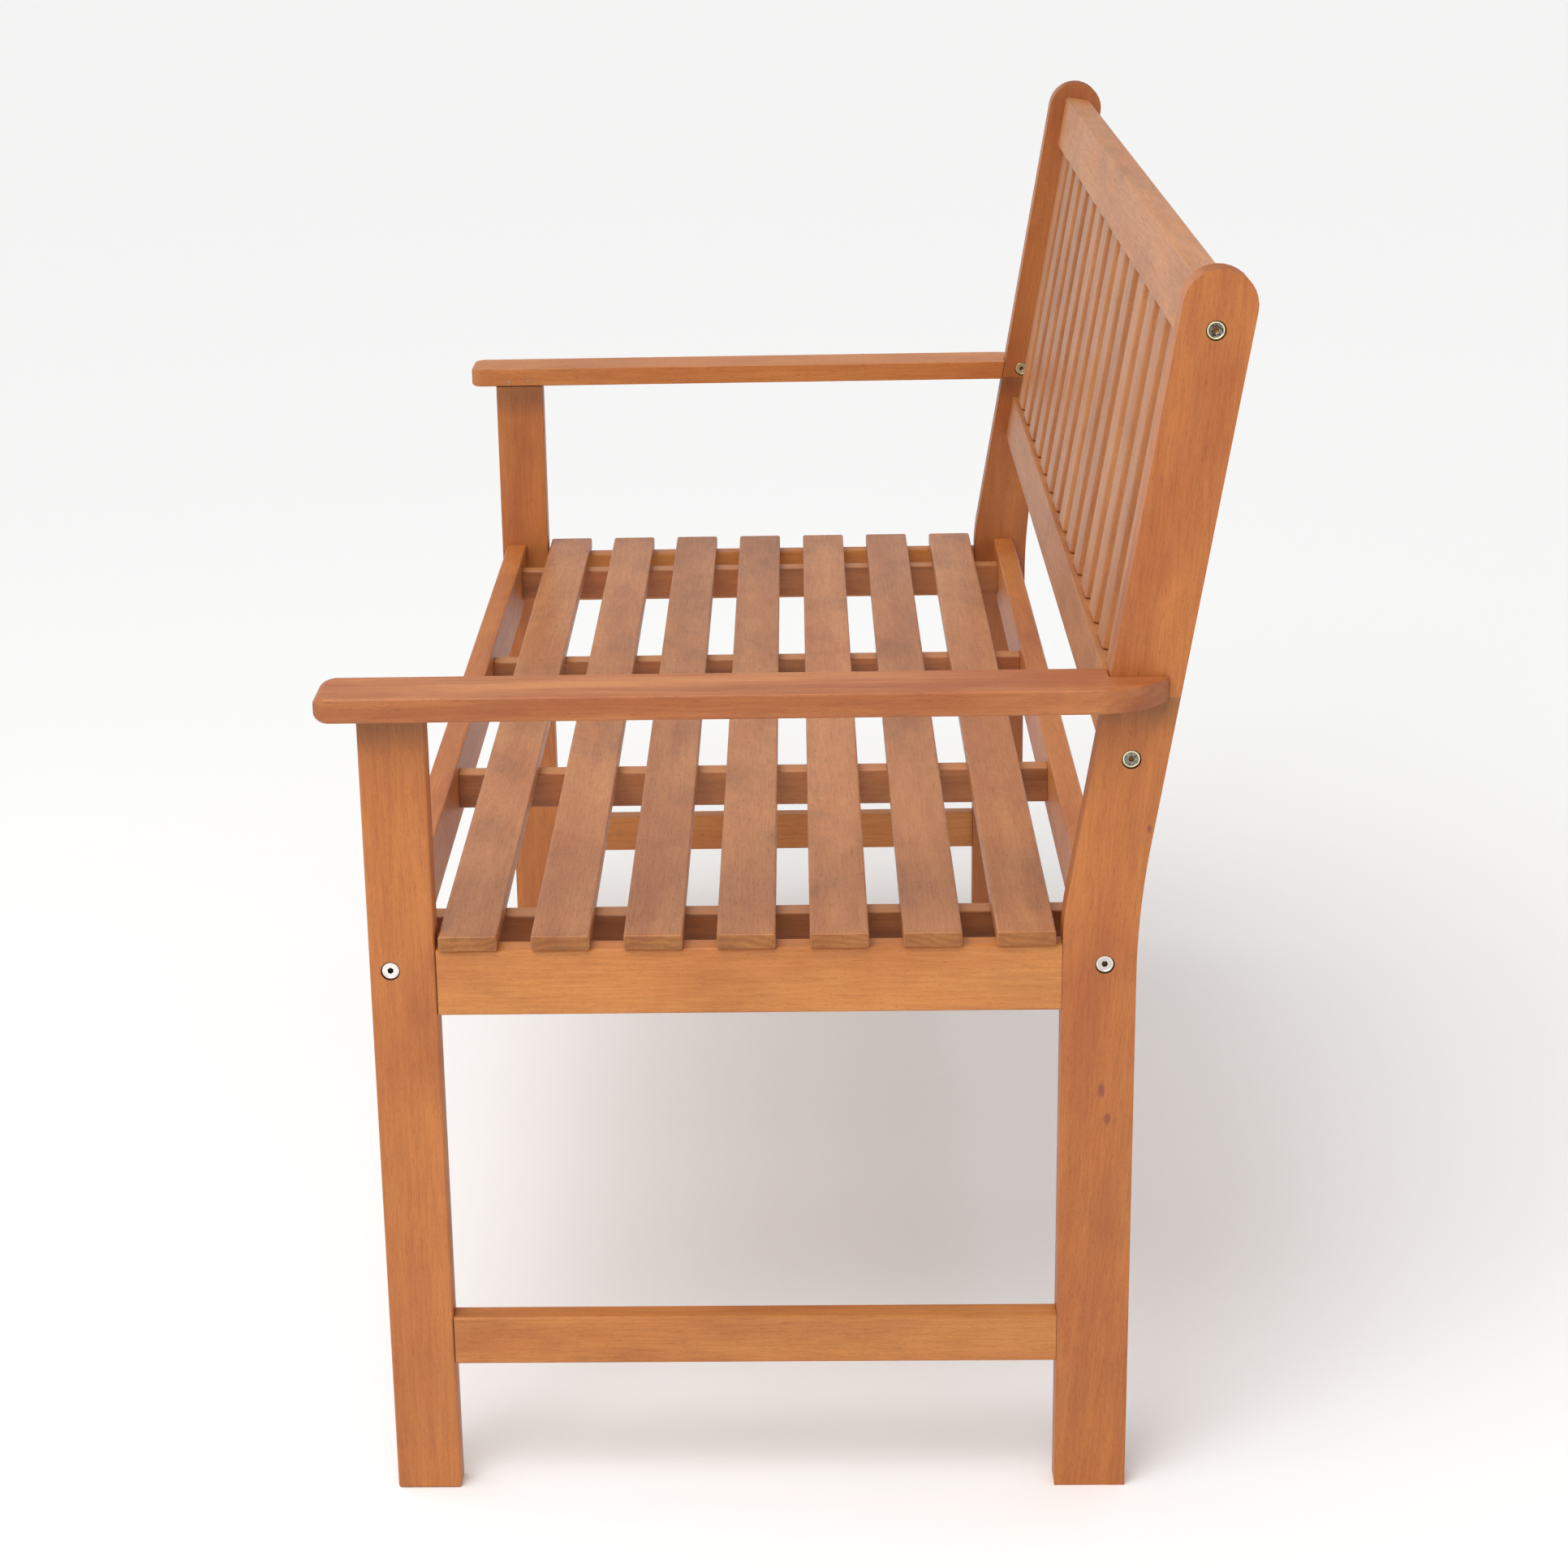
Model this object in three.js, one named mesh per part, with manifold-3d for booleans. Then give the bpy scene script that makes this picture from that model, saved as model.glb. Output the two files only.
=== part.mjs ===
// Garden bench: two seats, slatted seat and back, flat armrests, bolted hardwood frame.
//
// Millimetres, +Z up. X runs across the bench (right is +X as seen from the front),
// Y runs from the front to the back, and the floor is Z = 0.
// Lengths along Y are counted from the front faces of the front legs. The group at the
// end moves the whole bench so that the middle of its footprint is the origin.

import * as THREE from 'three';
import { mergeVertices } from 'three/addons/utils/BufferGeometryUtils.js';
import Module from 'manifold-3d';

const wasm = await Module();
wasm.setup();

// ---------------------------------------------------------------- driving dimensions

const GAP = 0.3; // clearance left in every joint and hole

// The four legs
const WIDTH_OVER_LEGS = 1135;
const LEG_THICKNESS = 22;
const FRONT_LEG_DEPTH = 46.5;
const BACK_LEG_FRONT_Y = 481.7;
const BACK_LEG_DEPTH = 51.2;
const RAKED_LEG_DEPTH = 49.2; // square to the raked part
const RAKE = THREE.MathUtils.degToRad(9.44); // the back leans back by this much
const BEND_Z = 440.4; // where the leg's front edge turns from upright to raked
const FRONT_BEND_RADIUS = 200;
const REAR_BEND_RADIUS = 600;
const OVERALL_HEIGHT = 889.9;

// Armrests
const ARM_UNDERSIDE_Z = 599.6;
const ARM_THICKNESS = 17.5;
const ARM_WIDTH = 53;
const ARM_OUTER_X = 600;
const ARM_FRONT_Y = -25;
const ARM_CORNER_RADIUS = 11;
const ARM_TAIL_RADIUS = 62; // the round outer corner beside the back leg
const ARM_TAIL_START_Y = 497;

// Seat
const SEAT_TOP_Z = 435.8;
const SEAT_SLAT_THICKNESS = 11.7;
const SEAT_SLAT_WIDTH = 41;
const SEAT_SLAT_PITCH = 64.5;
const SEAT_SLAT_COUNT = 7;
const FIRST_SLAT_Y = 69.5;
const SLAT_OVERHANG = 4; // how far a slat's end stands out past the side rail
const LONG_RAIL_THICKNESS = 19.5;
const LONG_RAIL_HEIGHT = 51.6;
const FRONT_RAIL_Y = 4.8; // front face of the front rail
const REAR_RAIL_Y = 501.3; // front face of the rear rail
const SIDE_RAIL_THICKNESS = 18;
const SIDE_RAIL_HEIGHT = 49;
const BEARER_THICKNESS = 18;
const BEARER_HEIGHT = 29.4;
const BEARER_PITCH = 327;
const BEARER_COUNT = 4;

// Low stretchers between the front and back legs
const STRETCHER_THICKNESS = 18.4;
const STRETCHER_HEIGHT = 37.4;
const STRETCHER_TOP_Z = 139.3;

// Backrest, in heights along the raked legs from BACK_ORIGIN_Z
const BACK_ORIGIN_Z = 500;
const BACK_RAIL_THICKNESS = 22;
const BOTTOM_RAIL_FROM = 44.5;
const BOTTOM_RAIL_HEIGHT = 40.7;
const TOP_RAIL_FROM = 337;
const TOP_RAIL_HEIGHT = 47;
const BACK_SLAT_THICKNESS = 14;
const BACK_SLAT_WIDTH = 40;
const BACK_SLAT_PITCH = 71.5;
const BACK_SLAT_COUNT = 15;

// Tenons: thickness, length and the shoulder left above and below them
const TENON_THICKNESS = 8;
const TENON_LENGTH = 20;
const TENON_SHOULDER = 7;
const BEARER_TENON_LENGTH = 10;
const SLAT_TENON_LENGTH = 12;
const ARM_TENON = { thickness: 10, depth: 30, height: 10 };

// Furniture bolts with a recessed round head and a six-sided socket
const BOLT = { shank: 6, length: 60, head: 12.4, headHeight: 6, socket: 5, socketDepth: 4 };
const HEAD_RECESS = 0.8; // the head sits this far below the leg's face
const COUNTERBORE = 13.5;
const BOLT_HOLE = 7;
const BARREL_NUT = { diameter: 10, length: 14, inset: 30 };
const INSERT_NUT = { diameter: 10, length: 14 };
const ARM_BOLT_LENGTH = 41;
const BACK_BOLT_DROP = 2; // the backrest bolts sit this far below the rails' middles
const ARM_BOLT = { y: 527.4, aboveArmUnderside: 10 };

const ROUND_SIDES = 24;
const CURVE_STEPS = 8;

// ---------------------------------------------------------------- worked-out places

const LEG_OUTER_X = WIDTH_OVER_LEGS / 2;
const LEG_INNER_X = LEG_OUTER_X - LEG_THICKNESS;
const LEG_MIDDLE_X = (LEG_OUTER_X + LEG_INNER_X) / 2;
const RAIL_END_X = LEG_INNER_X - GAP;
const BACK_LEG_REAR_Y = BACK_LEG_FRONT_Y + BACK_LEG_DEPTH;
const SLAT_UNDERSIDE_Z = SEAT_TOP_Z - SEAT_SLAT_THICKNESS;
const LONG_RAIL_BOTTOM_Z = SEAT_TOP_Z - LONG_RAIL_HEIGHT;
const SEAT_BOLT_Z = SEAT_TOP_Z - LONG_RAIL_HEIGHT / 2 - 1;
const ARM_TOP_Z = ARM_UNDERSIDE_Z + ARM_THICKNESS;
const BACK_RAIL_MIDDLE = RAKED_LEG_DEPTH / 2;

// Y of the back leg's raked front edge at height z
const rakedFrontY = (z) => BACK_LEG_FRONT_Y + (z - BEND_Z) * Math.tan(RAKE);
const BACK_ORIGIN_Y = rakedFrontY(BACK_ORIGIN_Z);

// A point of the raked leg: "up" along it and "in" from its front edge
function rakedPoint(up, into) {
  return {
    y: BACK_ORIGIN_Y + up * Math.sin(RAKE) + into * Math.cos(RAKE),
    z: BACK_ORIGIN_Z + up * Math.cos(RAKE) - into * Math.sin(RAKE),
  };
}

// Middle of the half-round top of the back leg
const LEG_TOP_RADIUS = RAKED_LEG_DEPTH / 2;
const LEG_TOP_Z = OVERALL_HEIGHT - LEG_TOP_RADIUS;
const LEG_TOP_Y = rakedFrontY(LEG_TOP_Z) + LEG_TOP_RADIUS / Math.cos(RAKE);
const REARMOST_Y = LEG_TOP_Y + LEG_TOP_RADIUS;

const bottomRailMiddle = BOTTOM_RAIL_FROM + BOTTOM_RAIL_HEIGHT / 2;
const topRailMiddle = TOP_RAIL_FROM + TOP_RAIL_HEIGHT / 2;

// The bolts through each pair of legs: where they are and which legs they hold
const SEAT_BOLTS = {
  front: { y: FRONT_RAIL_Y + LONG_RAIL_THICKNESS / 2, z: SEAT_BOLT_Z },
  rear: { y: REAR_RAIL_Y + LONG_RAIL_THICKNESS / 2, z: SEAT_BOLT_Z },
};
const BACK_BOLTS = {
  bottom: rakedPoint(bottomRailMiddle - BACK_BOLT_DROP, BACK_RAIL_MIDDLE),
  top: rakedPoint(topRailMiddle - BACK_BOLT_DROP, BACK_RAIL_MIDDLE),
};
const ARM_BOLT_PLACE = { y: ARM_BOLT.y, z: ARM_UNDERSIDE_Z + ARM_BOLT.aboveArmUnderside };

// ---------------------------------------------------------------- materials

const wood = (color) => new THREE.MeshStandardMaterial({ color, roughness: 0.5, metalness: 0 });

const legWood = wood(0xc07a3e);
const railWood = wood(0xb66f38);
const armWood = wood(0xc98552);
const seatWood = wood(0xb98163);
const backWood = wood(0xc48a66);
const boltSteel = new THREE.MeshStandardMaterial({
  color: 0xbdb6a6, roughness: 0.3, metalness: 1,
});
const nutZinc = new THREE.MeshStandardMaterial({
  color: 0xb9a46c, roughness: 0.4, metalness: 1,
});

// ---------------------------------------------------------------- solids

function toSolid(geometry) {
  const bare = geometry.clone();
  bare.deleteAttribute('normal');
  bare.deleteAttribute('uv');
  const merged = mergeVertices(bare, 1e-4);
  return new wasm.Manifold(new wasm.Mesh({
    numProp: 3,
    vertProperties: Float32Array.from(merged.attributes.position.array),
    triVerts: Uint32Array.from(merged.index.array),
  }));
}

function toGeometry(solid) {
  const mesh = solid.getMesh();
  const geometry = new THREE.BufferGeometry();
  geometry.setAttribute('position', new THREE.BufferAttribute(mesh.vertProperties, 3));
  geometry.setIndex(new THREE.BufferAttribute(mesh.triVerts, 1));
  geometry.computeVertexNormals();
  return geometry;
}

// One piece of geometry joined with others, then cut by a list of tools
function joinAndCut(body, additions, cutters) {
  let solid = toSolid(body);
  for (const addition of additions) solid = solid.add(toSolid(addition));
  for (const cutter of cutters) solid = solid.subtract(toSolid(cutter));
  return toGeometry(solid);
}

// A box given by its limits along X, Y and Z
function box([x0, x1], [y0, y1], [z0, z1]) {
  const geometry = new THREE.BoxGeometry(x1 - x0, y1 - y0, z1 - z0);
  return geometry.translate((x0 + x1) / 2, (y0 + y1) / 2, (z0 + z1) / 2);
}

// The same box grown by the joint clearance on every side
function clearanceBox([x0, x1], [y0, y1], [z0, z1]) {
  return box([x0 - GAP, x1 + GAP], [y0 - GAP, y1 + GAP], [z0 - GAP, z1 + GAP]);
}

// A round rod along X from x0 to x1, whichever is larger
function rodAlongX(diameter, x0, x1, y, z) {
  const rod = new THREE.CylinderGeometry(
    diameter / 2, diameter / 2, Math.abs(x1 - x0), ROUND_SIDES,
  );
  return rod.rotateZ(Math.PI / 2).translate((x0 + x1) / 2, y, z);
}

// A round rod along Y from y0 to y1
function rodAlongY(diameter, x, y0, y1, z) {
  const rod = new THREE.CylinderGeometry(
    diameter / 2, diameter / 2, Math.abs(y1 - y0), ROUND_SIDES,
  );
  return rod.translate(x, (y0 + y1) / 2, z);
}

// An outline drawn in the Y-Z plane, made into a board between two X limits
function boardFromSideOutline(outline, x0, x1) {
  const geometry = new THREE.ExtrudeGeometry(outline, {
    depth: x1 - x0, bevelEnabled: false, curveSegments: CURVE_STEPS,
  });
  const turn = new THREE.Matrix4().makeBasis(
    new THREE.Vector3(0, 1, 0), new THREE.Vector3(0, 0, 1), new THREE.Vector3(1, 0, 0),
  );
  return geometry.applyMatrix4(turn).translate(x0, 0, 0);
}

// Limits along X of something on one side of the bench, in rising order
const onSide = (side, inner, outer) => (side > 0 ? [inner, outer] : [-outer, -inner]);

// ---------------------------------------------------------------- parts shared by legs

// The hole for a furniture bolt through a leg, with a counterbore in its outer face
function boltHoleThroughLeg(side, place) {
  const outside = side * (LEG_OUTER_X + 1);
  const inside = side * (LEG_INNER_X - 1);
  const seat = side * (LEG_OUTER_X - HEAD_RECESS - BOLT.headHeight - GAP);
  return [
    rodAlongX(BOLT_HOLE, inside, outside, place.y, place.z),
    rodAlongX(COUNTERBORE, seat, outside, place.y, place.z),
  ];
}

// X limits of the tenons of a side rail or stretcher, in the middle of its thickness
function sideTenonX(side, thickness) {
  const middle = LEG_OUTER_X - thickness / 2;
  return onSide(side, middle - TENON_THICKNESS / 2, middle + TENON_THICKNESS / 2);
}

// The side rail and the stretcher share one form: a board with a tenon at each end
const SIDE_BOARDS = {
  rail: {
    thickness: SIDE_RAIL_THICKNESS,
    z: [SLAT_UNDERSIDE_Z - SIDE_RAIL_HEIGHT, SLAT_UNDERSIDE_Z],
  },
  stretcher: {
    thickness: STRETCHER_THICKNESS,
    z: [STRETCHER_TOP_Z - STRETCHER_HEIGHT, STRETCHER_TOP_Z],
  },
};

const tenonZ = ([z0, z1]) => [z0 + TENON_SHOULDER, z1 - TENON_SHOULDER];

function sideBoard(side, { thickness, z }) {
  const x = onSide(side, LEG_OUTER_X - thickness, LEG_OUTER_X);
  const board = box(x, [FRONT_LEG_DEPTH + GAP, BACK_LEG_FRONT_Y - GAP], z);
  const tenon = box(
    sideTenonX(side, thickness),
    [FRONT_LEG_DEPTH - TENON_LENGTH, BACK_LEG_FRONT_Y + TENON_LENGTH],
    tenonZ(z),
  );
  return joinAndCut(board, [tenon], []);
}

function sideMortises(side, yLimits) {
  return Object.values(SIDE_BOARDS).map(({ thickness, z }) => (
    clearanceBox(sideTenonX(side, thickness), yLimits, tenonZ(z))
  ));
}

// ---------------------------------------------------------------- legs

// Limits of the tenon on top of the front leg, which enters the armrest from below
const armTenonX = (side) => onSide(
  side, LEG_MIDDLE_X - ARM_TENON.thickness / 2, LEG_MIDDLE_X + ARM_TENON.thickness / 2,
);
const ARM_TENON_Y = [
  (FRONT_LEG_DEPTH - ARM_TENON.depth) / 2, (FRONT_LEG_DEPTH + ARM_TENON.depth) / 2,
];

function frontLeg(side) {
  const x = onSide(side, LEG_INNER_X, LEG_OUTER_X);
  const post = box(x, [0, FRONT_LEG_DEPTH], [0, ARM_UNDERSIDE_Z - GAP]);
  const tenon = box(
    armTenonX(side), ARM_TENON_Y,
    [ARM_UNDERSIDE_Z - 1, ARM_UNDERSIDE_Z + ARM_TENON.height],
  );
  const mortiseY = [FRONT_LEG_DEPTH - TENON_LENGTH, FRONT_LEG_DEPTH + 1];
  return joinAndCut(post, [tenon], [
    ...sideMortises(side, mortiseY),
    ...boltHoleThroughLeg(side, SEAT_BOLTS.front),
  ]);
}

// Upright below, bent once, raked above, and half round at the top
function backLegOutline() {
  const turnLength = (radius) => radius * Math.tan(RAKE / 2);
  const rearBendZ = BEND_Z
    + (BACK_LEG_DEPTH - RAKED_LEG_DEPTH / Math.cos(RAKE)) / Math.tan(RAKE);
  const outline = new THREE.Shape();
  const frontBendStartZ = BEND_Z - turnLength(FRONT_BEND_RADIUS);
  outline.moveTo(BACK_LEG_FRONT_Y, 0);
  outline.lineTo(BACK_LEG_FRONT_Y, frontBendStartZ);
  outline.absarc(
    BACK_LEG_FRONT_Y + FRONT_BEND_RADIUS, frontBendStartZ,
    FRONT_BEND_RADIUS, Math.PI, Math.PI - RAKE, true,
  );
  outline.absarc(LEG_TOP_Y, LEG_TOP_Z, LEG_TOP_RADIUS, Math.PI - RAKE, -RAKE, true);
  outline.absarc(
    BACK_LEG_REAR_Y + REAR_BEND_RADIUS, rearBendZ - turnLength(REAR_BEND_RADIUS),
    REAR_BEND_RADIUS, Math.PI - RAKE, Math.PI, false,
  );
  outline.lineTo(BACK_LEG_REAR_Y, 0);
  return outline;
}

function backLeg(side) {
  const [x0, x1] = onSide(side, LEG_INNER_X, LEG_OUTER_X);
  const post = boardFromSideOutline(backLegOutline(), x0, x1);
  const mortiseY = [BACK_LEG_FRONT_Y - 1, BACK_LEG_FRONT_Y + TENON_LENGTH];
  const armHead = side * (LEG_INNER_X + HEAD_RECESS + BOLT.headHeight + GAP);
  return joinAndCut(post, [], [
    ...sideMortises(side, mortiseY),
    ...boltHoleThroughLeg(side, SEAT_BOLTS.rear),
    ...boltHoleThroughLeg(side, BACK_BOLTS.bottom),
    ...boltHoleThroughLeg(side, BACK_BOLTS.top),
    rodAlongX(
      BOLT_HOLE, side * (LEG_INNER_X - 1), side * (LEG_OUTER_X + 1),
      ARM_BOLT_PLACE.y, ARM_BOLT_PLACE.z,
    ),
    rodAlongX(
      COUNTERBORE, side * (LEG_INNER_X - 1), armHead, ARM_BOLT_PLACE.y, ARM_BOLT_PLACE.z,
    ),
  ]);
}

// ---------------------------------------------------------------- armrests

// Plan of the right armrest: round corners in front, an inner end that meets the back
// leg, and a tail beside the leg that is cut to an arc
function armOutline() {
  const inner = ARM_OUTER_X - ARM_WIDTH;
  const legFace = LEG_OUTER_X + GAP;
  const notchY = rakedFrontY(ARM_TOP_Z) + 1;
  const corner = ARM_CORNER_RADIUS;
  const tailCentreX = ARM_OUTER_X - ARM_TAIL_RADIUS;
  const tailEnd = Math.acos((legFace - tailCentreX) / ARM_TAIL_RADIUS);
  const outline = new THREE.Shape();
  outline.moveTo(inner, notchY);
  outline.lineTo(inner, ARM_FRONT_Y + corner);
  outline.absarc(
    inner + corner, ARM_FRONT_Y + corner, corner, Math.PI, Math.PI * 1.5, false,
  );
  outline.absarc(
    ARM_OUTER_X - corner, ARM_FRONT_Y + corner, corner, Math.PI * 1.5, Math.PI * 2, false,
  );
  outline.absarc(tailCentreX, ARM_TAIL_START_Y, ARM_TAIL_RADIUS, 0, tailEnd, false);
  outline.lineTo(legFace, notchY);
  return outline;
}

function armrest(side) {
  const board = new THREE.ExtrudeGeometry(armOutline(), {
    depth: ARM_THICKNESS, bevelEnabled: false, curveSegments: CURVE_STEPS,
  });
  board.translate(0, 0, ARM_UNDERSIDE_Z);
  let solid = toSolid(board);
  const insertEnd = LEG_OUTER_X + GAP + INSERT_NUT.length + 1;
  const backLegSpace = boardFromSideOutline(
    backLegOutline(), LEG_INNER_X - 1, LEG_OUTER_X + GAP,
  );
  const cutters = [
    backLegSpace.translate(0, -GAP, 0),
    clearanceBox(
      armTenonX(1), ARM_TENON_Y, [ARM_UNDERSIDE_Z - 1, ARM_UNDERSIDE_Z + ARM_TENON.height],
    ),
    rodAlongX(
      INSERT_NUT.diameter + 2 * GAP, LEG_OUTER_X - 1, insertEnd,
      ARM_BOLT_PLACE.y, ARM_BOLT_PLACE.z,
    ),
  ];
  for (const cutter of cutters) solid = solid.subtract(toSolid(cutter));
  return toGeometry(side > 0 ? solid : solid.mirror([1, 0, 0]));
}

// ---------------------------------------------------------------- seat

const bearerX = (index) => (index - (BEARER_COUNT - 1) / 2) * BEARER_PITCH;
const BEARER_Z = [SLAT_UNDERSIDE_Z - BEARER_HEIGHT, SLAT_UNDERSIDE_Z];

// X limits of the tenon at each end of a bearer, which enters the long rails
function bearerTenonX(index) {
  const middle = bearerX(index);
  return [middle - TENON_THICKNESS / 2, middle + TENON_THICKNESS / 2];
}

const FRONT_RAIL_INNER_Y = FRONT_RAIL_Y + LONG_RAIL_THICKNESS;

// A long rail between the legs: bolt holes in its ends, barrel-nut holes in its inner
// face and mortises for the bearers
function longRail(frontFaceY, innerFaceY) {
  const y = [frontFaceY, frontFaceY + LONG_RAIL_THICKNESS];
  const inward = innerFaceY > frontFaceY ? 1 : -1;
  const boltY = frontFaceY + LONG_RAIL_THICKNESS / 2;
  const nutHoleEnd = boltY - inward * (BARREL_NUT.length / 2 + GAP);
  const cutters = [];
  for (const side of [-1, 1]) {
    const boltEnd = LEG_OUTER_X - HEAD_RECESS - BOLT.length - 1;
    cutters.push(
      rodAlongX(BOLT_HOLE, side * LEG_OUTER_X, side * boltEnd, boltY, SEAT_BOLT_Z),
      rodAlongY(
        BARREL_NUT.diameter + 2 * GAP, side * (RAIL_END_X - BARREL_NUT.inset),
        nutHoleEnd, innerFaceY + inward, SEAT_BOLT_Z,
      ),
    );
  }
  const mortiseY = [innerFaceY - inward * BEARER_TENON_LENGTH, innerFaceY + inward];
  mortiseY.sort((a, b) => a - b);
  for (let i = 0; i < BEARER_COUNT; i += 1) {
    cutters.push(clearanceBox(bearerTenonX(i), mortiseY, tenonZ(BEARER_Z)));
  }
  const board = box([-RAIL_END_X, RAIL_END_X], y, [LONG_RAIL_BOTTOM_Z, SEAT_TOP_Z]);
  return joinAndCut(board, [], cutters);
}

function seatBearer(index) {
  const middle = bearerX(index);
  const x = [middle - BEARER_THICKNESS / 2, middle + BEARER_THICKNESS / 2];
  const board = box(x, [FRONT_RAIL_INNER_Y + GAP, REAR_RAIL_Y - GAP], BEARER_Z);
  const tenon = box(
    bearerTenonX(index),
    [FRONT_RAIL_INNER_Y - BEARER_TENON_LENGTH, REAR_RAIL_Y + BEARER_TENON_LENGTH],
    tenonZ(BEARER_Z),
  );
  return joinAndCut(board, [tenon], []);
}

function seatSlat() {
  const halfLength = LEG_OUTER_X + SLAT_OVERHANG;
  return box(
    [-halfLength, halfLength],
    [-SEAT_SLAT_WIDTH / 2, SEAT_SLAT_WIDTH / 2],
    [SLAT_UNDERSIDE_Z + GAP, SEAT_TOP_Z],
  );
}

// ---------------------------------------------------------------- backrest
// These shapes are drawn upright, with Z up along the raked legs and Y into them.

const backSlatX = (index) => (index - (BACK_SLAT_COUNT - 1) / 2) * BACK_SLAT_PITCH;
const BACK_SLAT_Y = [
  BACK_RAIL_MIDDLE - BACK_SLAT_THICKNESS / 2, BACK_RAIL_MIDDLE + BACK_SLAT_THICKNESS / 2,
];
const SLAT_TENON_Y = [
  BACK_RAIL_MIDDLE - TENON_THICKNESS / 2, BACK_RAIL_MIDDLE + TENON_THICKNESS / 2,
];
const BACK_RAIL_Y = [
  BACK_RAIL_MIDDLE - BACK_RAIL_THICKNESS / 2, BACK_RAIL_MIDDLE + BACK_RAIL_THICKNESS / 2,
];
const SLAT_FOOT = BOTTOM_RAIL_FROM + BOTTOM_RAIL_HEIGHT;

const slatTenonX = (x) => [
  x - BACK_SLAT_WIDTH / 2 + TENON_SHOULDER, x + BACK_SLAT_WIDTH / 2 - TENON_SHOULDER,
];

function backSlat(index) {
  const x = backSlatX(index);
  const board = box(
    [x - BACK_SLAT_WIDTH / 2, x + BACK_SLAT_WIDTH / 2], BACK_SLAT_Y,
    [SLAT_FOOT + GAP, TOP_RAIL_FROM - GAP],
  );
  const tenon = box(
    slatTenonX(x), SLAT_TENON_Y,
    [SLAT_FOOT - SLAT_TENON_LENGTH, TOP_RAIL_FROM + SLAT_TENON_LENGTH],
  );
  return joinAndCut(board, [tenon], []);
}

// A backrest rail with a mortise for each slat in its upper or lower edge
function backRail(from, height, mortiseLimits) {
  const cutters = [];
  for (let i = 0; i < BACK_SLAT_COUNT; i += 1) {
    cutters.push(clearanceBox(slatTenonX(backSlatX(i)), SLAT_TENON_Y, mortiseLimits));
  }
  const boltUp = from + height / 2 - BACK_BOLT_DROP;
  for (const side of [-1, 1]) {
    const boltEnd = LEG_OUTER_X - HEAD_RECESS - BOLT.length - 1;
    cutters.push(
      rodAlongX(BOLT_HOLE, side * LEG_OUTER_X, side * boltEnd, BACK_RAIL_MIDDLE, boltUp),
      rodAlongY(
        BARREL_NUT.diameter + 2 * GAP, side * (RAIL_END_X - BARREL_NUT.inset),
        BACK_RAIL_MIDDLE - BARREL_NUT.length / 2 - GAP, BACK_RAIL_Y[1] + 1, boltUp,
      ),
    );
  }
  const board = box([-RAIL_END_X, RAIL_END_X], BACK_RAIL_Y, [from, from + height]);
  return joinAndCut(board, [], cutters);
}

// ---------------------------------------------------------------- fasteners

// A bolt along +Y with its head's face at Y = 0 and a six-sided socket in it
function furnitureBolt(length) {
  const profile = [
    [0, -length], [BOLT.shank / 2, -length], [BOLT.shank / 2, -BOLT.headHeight],
    [BOLT.head / 2, -BOLT.headHeight], [BOLT.head / 2, -0.6],
    [BOLT.head / 2 - 0.6, 0], [0, 0],
  ].map(([r, y]) => new THREE.Vector2(r, y));
  const body = new THREE.LatheGeometry(profile, ROUND_SIDES);
  const acrossCorners = BOLT.socket / Math.cos(Math.PI / 6);
  const socket = new THREE.CylinderGeometry(
    acrossCorners / 2, acrossCorners / 2, BOLT.socketDepth + 1, 6,
  );
  socket.translate(0, (1 - BOLT.socketDepth) / 2, 0);
  return joinAndCut(body, [], [socket]);
}

// A plain round nut along Y with the bolt's hole across it
function barrelNut() {
  const body = rodAlongY(
    BARREL_NUT.diameter, 0, -BARREL_NUT.length / 2, BARREL_NUT.length / 2, 0,
  );
  const reach = BARREL_NUT.diameter;
  return joinAndCut(body, [], [rodAlongX(BOLT.shank + 2 * GAP, -reach, reach, 0, 0)]);
}

// A threaded sleeve along X, open at both ends
function insertNut() {
  const half = INSERT_NUT.length / 2;
  const body = rodAlongX(INSERT_NUT.diameter, -half, half, 0, 0);
  return joinAndCut(body, [], [
    rodAlongX(BOLT.shank + 2 * GAP, -half - 1, half + 1, 0, 0),
  ]);
}

// ---------------------------------------------------------------- assembly

const bench = new THREE.Group();
bench.name = 'garden_bench';

const backrest = new THREE.Group();
backrest.position.set(0, BACK_ORIGIN_Y, BACK_ORIGIN_Z);
backrest.rotation.x = -RAKE;
bench.add(backrest);

function addPiece(parent, name, geometry, material) {
  const mesh = new THREE.Mesh(geometry, material);
  mesh.name = name;
  parent.add(mesh);
  return mesh;
}

// A bolt whose head faces out of the bench when facing is +1, or into it when -1
function addBolt(name, side, facing, faceX, place, length) {
  const bolt = addPiece(bench, name, furnitureBolt(length), boltSteel);
  bolt.rotation.z = -side * facing * Math.PI / 2;
  bolt.position.set(side * faceX, place.y, place.z);
}

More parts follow.
